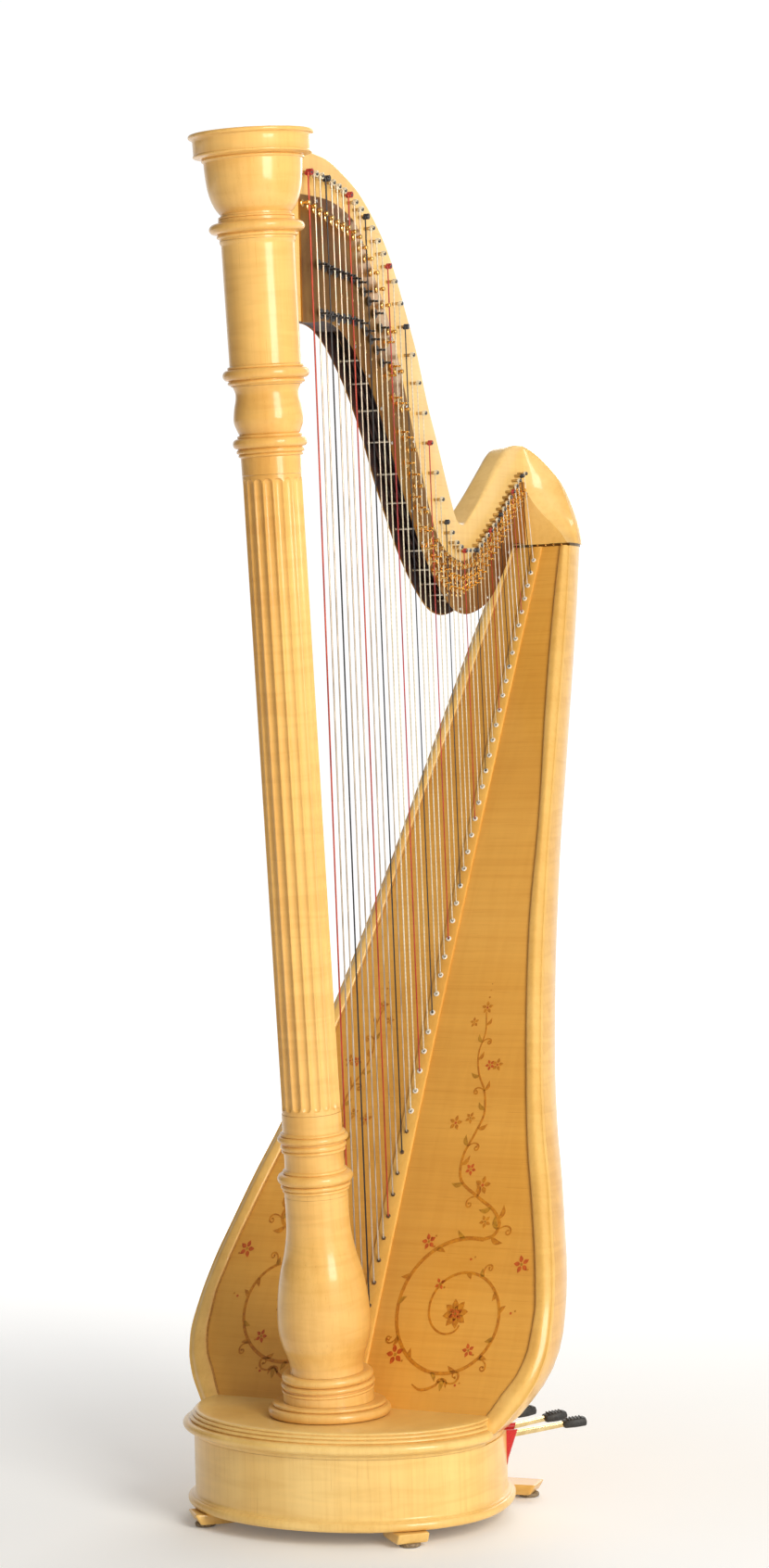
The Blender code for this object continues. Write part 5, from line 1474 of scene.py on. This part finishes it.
# coil springs in place of the plain zigzag leaves
bm = bmesh.new()
for name, px, py in PEDALS:
    phi = math.atan2(py, px)
    cx, cy = 0.073 * math.cos(phi), 0.073 * math.sin(phi)
    turns, steps = 7, 14
    rows = []
    for k in range(turns * steps + 1):
        t = 2 * math.pi * k / steps
        z = 0.0345 + (0.0705 - 0.0345) * k / (turns * steps)
        c, s = math.cos(t), math.sin(t)
        p = Vector((cx + 0.0052 * c, cy + 0.0052 * s, z))
        out = Vector((c, s, 0))
        rows.append([p + out * 0.0008 * math.cos(q) + Vector((0, 0, 0.0008 * math.sin(q)))
                     for q in [2 * math.pi * j / 6 for j in range(6)]])
    add_grid(bm, rows, wrap_v=True)
    lathe_into(bm, [(0, 0.0326), (0.0075, 0.0326), (0.0075, 0.0342), (0.0060, 0.0346), (0, 0.0346)], 20,
               Matrix.Translation((cx, cy, 0)))
finish_mesh("coil_springs", bm, ROOT, STEEL, ("pedal_springs",))


def dress(node_name, mat):
    """A carried-over CAD piece gets its procedural finish."""
    ob = NODES[node_name]
    ob.data.materials.clear()
    ob.data.materials.append(mat)


for nm in ("base_floor", "inner_string_bar", "soundbox_top_block", "soundbox_rib_lower",
           "soundbox_rib_middle", "soundbox_rib_upper"):
    dress(nm, INNER)
dress("pedal_brackets", STEEL)


# =================================================== ornament on the soundboard
class Scroll:
    """Thin painted strokes on the board, drawn in (x, z) and laid on it."""

    def __init__(self, sign):
        self.bm = bmesh.new()
        self.sign = sign

    def lay(self, p, lift):
        x, z = p
        return Vector((self.sign * x, board_y(z) - lift, z))

    def solid(self, outline, mat):
        """A closed outline as a flat film with its own thickness."""
        if self.sign < 0:
            outline = outline[::-1]
        top = [self.bm.verts.new(self.lay(p, 0.00045)) for p in outline]
        low = [self.bm.verts.new(self.lay(p, -0.0004)) for p in outline]
        f = self.bm.faces.new(top)
        f.material_index = mat
        f = self.bm.faces.new(low[::-1])
        f.material_index = mat
        k_ = len(outline)
        for k in range(k_):
            f = self.bm.faces.new((top[k], low[k], low[(k + 1) % k_], top[(k + 1) % k_]))
            f.material_index = mat

    def stroke(self, points, w0, w1, w2=None, mat=0, per=7):
        """Ribbon whose half width runs w0, w1, w2 along the line."""
        line = catmull(points, per)
        w2 = w0 if w2 is None else w2
        k_ = len(line)
        tops, lows = [], []
        for k, p in enumerate(line):
            a, b = line[max(0, k - 1)], line[min(k_ - 1, k + 1)]
            d = b - a
            d = d / (np.linalg.norm(d) + 1e-12)
            nrm = np.array((-d[1], d[0]))
            t = k / (k_ - 1)
            w = w0 + (w1 - w0) * t * 2 if t < 0.5 else w1 + (w2 - w1) * (t - 0.5) * 2
            w *= 1.25
            sec = [p + nrm * w, p - nrm * w]
            tops.append([self.lay(q, 0.00045) for q in sec])
            lows.append([self.lay(q, -0.0004) for q in sec])
        rows = [[a[0], a[1], b[1], b[0]] for a, b in zip(tops, lows)]
        add_grid(self.bm, rows, wrap_v=True, mat=mat)

    def leaf(self, p, angle, length, width, mat=0, bend=0.0):
        c, s = math.cos(angle), math.sin(angle)
        out = []
        n_ = 9
        for side in (1, -1):
            rng = range(n_) if side > 0 else range(n_ - 2, 0, -1)
            for k in rng:
                t = k / (n_ - 1)
                w = side * width * math.sin(math.pi * t ** 0.8) * 0.5
                b = bend * length * math.sin(math.pi * t) * 0.5
                lx, ly = length * t, w + b
                out.append(np.array((p[0] + lx * c - ly * s, p[1] + lx * s + ly * c)))
        self.solid(out, mat)

    def dot(self, p, r, mat=0):
        self.solid([np.array((p[0] + r * math.cos(2 * math.pi * k / 10), p[1] + r * math.sin(2 * math.pi * k / 10)))
                    for k in range(10)], mat)

    def flower(self, p, size, petals=5, turn=0.3, mat=0, heart=2):
        for k in range(petals):
            a = turn + 2 * math.pi * k / petals
            q = (p[0] + size * 0.22 * math.cos(a), p[1] + size * 0.22 * math.sin(a))
            self.leaf(q, a, size * 0.80, size * 0.50, mat)
        self.dot(p, size * 0.17, heart)

    def curl(self, p, angle, size, turn, w=0.0011, mat=0):
        """A tendril that leaves a stem and rolls up; turn is +1 or -1."""
        pts = []
        x, z = p
        a = angle
        step = size / 11
        for k in range(17):
            pts.append((x, z))
            x += step * math.cos(a)
            z += step * math.sin(a)
            a += turn * (0.10 + 0.050 * k)
            step *= 0.955
        self.stroke(pts, w * 0.6, w, w * 0.5, mat, 2)
        self.dot(pts[-1], w * 1.5, mat)


def ornament(sign):
    s = Scroll(sign)
    # great spiral, wound inwards from the foot of the stem
    cx, cz = 0.130, 0.2700
    spiral = []
    turns = 1.62
    for k in range(46):
        t = k / 45
        a = math.radians(78) + 2 * math.pi * turns * t
        r = 0.0800 * (1 - t) ** 0.82 + 0.0165
        spiral.append((cx + r * math.cos(a) * 1.04, cz + r * math.sin(a)))
    s.stroke(spiral, 0.0021, 0.0016, 0.0009, 0, 3)
    s.flower((cx, cz), 0.0185, 8, 0.2, 0, 2)
    s.flower((cx, cz), 0.0105, 6, 0.5, 2, 1)
    # leaves and tendrils round its outer turn
    for k in range(14):
        t = 0.028 + 0.60 * k / 13
        a = math.radians(78) + 2 * math.pi * turns * t
        r = 0.0800 * (1 - t) ** 0.82 + 0.0165
        p = (cx + r * math.cos(a) * 1.04, cz + r * math.sin(a))
        out = k % 2 == 0
        if k % 4 == 0 and 1 < k:
            s.curl(p, a + 0.75, 0.034, -1, 0.0010, 0)
        s.leaf(p, a + (0.85 if out else math.pi - 0.35 + 1.2), 0.0165 - 0.0004 * k, 0.0058, 1 if k % 3 == 0 else 0,
               0.25)
        if k % 3 == 1:
            q = (p[0] + 0.017 * math.cos(a), p[1] + 0.017 * math.sin(a))
            if q[1] > 0.170 and q[0] < 0.225:
                s.dot(q, 0.0017, 2)
                s.dot((q[0] + 0.006, q[1] + 0.003), 0.0013, 0)
    # blossom clusters set off from the spiral
    for p, size, pet in (((0.052, 0.215), 0.0130, 5), ((0.214, 0.336), 0.0115, 5), ((0.068, 0.358), 0.0105, 5),
                         ((0.160, 0.226), 0.0090, 5), ((0.098, 0.306), 0.0080, 4)):
        s.flower(p, size, pet, 0.6, 2, 1)
        s.dot((p[0] + size * 0.95, p[1] - size * 0.55), 0.0014, 0)
    # foot: a pair of curls and a hanging spray
    s.stroke([(0.130, 0.1900), (0.118, 0.1790), (0.100, 0.1740), (0.086, 0.1800)], 0.0008, 0.0016, 0.0006, 0)
    s.curl((0.128, 0.1890), math.radians(-28), 0.048, 1, 0.0012, 0)
    s.leaf((0.130, 0.1905), math.radians(-92), 0.0165, 0.0065, 1)
    s.leaf((0.130, 0.1905), math.radians(-60), 0.0140, 0.0050, 0, 0.3)
    s.leaf((0.130, 0.1905), math.radians(-124), 0.0140, 0.0050, 0, -0.3)
    # rising stem: an S with alternate leaves, tendrils and small blossoms
    stem = [(0.1508, 0.3648), (0.1640, 0.3705), (0.1690, 0.3850), (0.1560, 0.4020), (0.128, 0.4180), (0.098, 0.4380), (0.093, 0.4680), (0.103, 0.4960),
            (0.112, 0.5250), (0.105, 0.5550), (0.091, 0.5780), (0.084, 0.6050), (0.088, 0.6330), (0.083, 0.6600)]
    s.stroke(stem, 0.0019, 0.0014, 0.0006, 0, 6)
    line = catmull(stem, 6)
    for k in range(4, len(line) - 3, 5):
        d = line[k + 1] - line[k - 1]
        a = math.atan2(d[1], d[0])
        side = 1 if (k // 5) % 2 else -1
        t = k / len(line)
        s.leaf(line[k], a + side * 0.75, 0.0210 * (1 - 0.45 * t), 0.0072 * (1 - 0.35 * t), (k // 5) % 2, side * 0.3)
        if (k // 5) % 3 == 1:
            s.curl(line[k], a - side * 0.55, 0.040 * (1 - 0.4 * t), -side, 0.0010, 0)
        if (k // 5) % 3 == 2:
            q = line[k] + np.array((math.cos(a - side * 1.2), math.sin(a - side * 1.2))) * 0.0200
            s.flower(q, 0.0090 * (1 - 0.25 * t), 5, a, 2 if k % 2 else 0, 1)
    for p, size in (((0.132, 0.4330), 0.0120), ((0.071, 0.5120), 0.0100), ((0.117, 0.5900), 0.0088)):
        s.flower(p, size, 5, 0.2, 0, 2)
    s.flower((0.083, 0.6660), 0.0088, 5, 0.4, 0, 2)
    for dz in (0.0, 0.0095, 0.0180):
        s.dot((0.083, 0.6800 + dz), 0.0014 - dz * 0.03, 0)
    return s.bm


for side, sign in (("string_side", 1), ("far_side", -1)):
    finish_mesh("scroll_" + side, ornament(sign), ROOT, [PAINT_GOLD, PAINT_OLIVE, PAINT_RED], (), angle=30)

# ============================================================ floor and light
fm = bmesh.new()
bmesh.ops.create_circle(fm, cap_ends=True, segments=96, radius=40.0)
mesh = bpy.data.meshes.new("studio_floor")
fm.to_mesh(mesh)
fm.free()
floor = bpy.data.objects.new("studio_floor", mesh)
bpy.context.scene.collection.objects.link(floor)
m, nt, s = nodes_of("floor_paper_painted_glow")
nt.links.new(ramp(nt, noise(nt, coords(nt, (2.0, 2.0, 2.0)), 1.0, 2, 0.5), [(0.3, (0.86, 0.86, 0.85)), (0.7, (0.88, 0.88, 0.87))]),
             s.inputs["Base Color"])
s.inputs["Roughness"].default_value = 0.9
s.inputs["Specular IOR Level"].default_value = 0.1
# painted light: the floor glows, faintly near the camera and more strongly farther away along the view, so that it
# fades into the white world
far = nt.nodes.new("ShaderNodeMapRange")
far.interpolation_type = "SMOOTHSTEP"
far.inputs["From Min"].default_value, far.inputs["From Max"].default_value = -0.5, 4.2
far.inputs["To Min"].default_value, far.inputs["To Max"].default_value = 0.08, 0.72
ln = nt.nodes.new("ShaderNodeVectorMath")
ln.operation = "DOT_PRODUCT"
ln.inputs[1].default_value = (-0.4617, 0.887, 0.0)
nt.links.new(coords(nt, (1, 1, 1)), ln.inputs[0])
nt.links.new(ln.outputs["Value"], far.inputs["Value"])
s.inputs["Emission Color"].default_value = (1, 1, 1, 1)
nt.links.new(far.outputs["Result"], s.inputs["Emission Strength"])
mesh.materials.append(m)

# a soft studio room: white behind the harp, bright on its right, dimmer on its left
world = bpy.data.worlds.new("studio")
bpy.context.scene.world = world
world.use_nodes = True
wt = world.node_tree
bg = wt.nodes["Background"]
tc = wt.nodes.new("ShaderNodeTexCoord")


def side_of(direction, lo, hi, out_lo, out_hi):
    d = wt.nodes.new("ShaderNodeVectorMath")
    d.operation = "DOT_PRODUCT"
    d.inputs[1].default_value = direction
    wt.links.new(tc.outputs["Generated"], d.inputs[0])
    r = wt.nodes.new("ShaderNodeMapRange")
    r.interpolation_type = "SMOOTHSTEP"
    r.inputs["From Min"].default_value, r.inputs["From Max"].default_value = lo, hi
    r.inputs["To Min"].default_value, r.inputs["To Max"].default_value = out_lo, out_hi
    wt.links.new(d.outputs["Value"], r.inputs["Value"])
    return r.outputs["Result"]


behind = side_of((-0.4617, 0.887, 0.0), 0.66, 0.90, 0.0, 0.80)
right_side = side_of((0.887, 0.4617, 0.0), -0.4, 0.9, 0.17, 0.58)
above = side_of((0.0, 0.0, 1.0), 0.2, 1.0, 0.0, 0.12)
total = None
for a_ in (behind, right_side, above):
    if total is None:
        total = a_
        continue
    ad = wt.nodes.new("ShaderNodeMath")
    ad.operation = "ADD"
    wt.links.new(total, ad.inputs[0])
    wt.links.new(a_, ad.inputs[1])
    total = ad.outputs["Value"]
wt.links.new(total, bg.inputs["Strength"])
bg.inputs["Color"].default_value = (1.0, 1.0, 1.0, 1)
bpy.context.scene.view_settings.view_transform = "Standard"


def soft_light(name, location, target, size, power, colour=(1, 1, 1)):
    data = bpy.data.lights.new(name, "AREA")
    data.shape = "RECTANGLE"
    data.size, data.size_y = size
    data.energy = power
    data.color = colour
    ob = bpy.data.objects.new(name, data)
    bpy.context.scene.collection.objects.link(ob)
    ob.location = location
    d = Vector(target) - Vector(location)
    ob.rotation_euler = d.to_track_quat("-Z", "Y").to_euler()
    return ob


soft_light("key", (3.75, -2.35, 2.3), (0, 0, 0.95), (1.7, 2.8), 172, (1.0, 0.965, 0.90))
fill = soft_light("fill", (0.4, -5.2, 2.2), (0, 0, 0.9), (1.6, 2.4), 20, (1.0, 0.95, 0.88))
fill.visible_glossy = False
back = soft_light("back", (-1.0, 3.8, 2.8), (0, 0, 1.0), (2.4, 2.4), 70, (1.0, 0.98, 0.95))

# camera of the photograph
cam_data = bpy.data.cameras.new("camera")
cam_data.lens = 78.99
cam_data.sensor_width = 36.0
cam_data.clip_start, cam_data.clip_end = 0.05, 200.0
cam = bpy.data.objects.new("camera", cam_data)
bpy.context.scene.collection.objects.link(cam)
right = Vector((0.88696, 0.46119, -0.02443)).normalized()
fwd = Vector((-0.46166, 0.88685, -0.01927)).normalized()
up = right.cross(fwd).normalized()
rot = Matrix((right, up, -fwd)).transposed()
cam.matrix_world = Matrix.Translation((2.20738, -4.03687 + SHIFT, 1.08)) @ rot.to_4x4()
bpy.context.scene.camera = cam

bpy.context.view_layer.update()
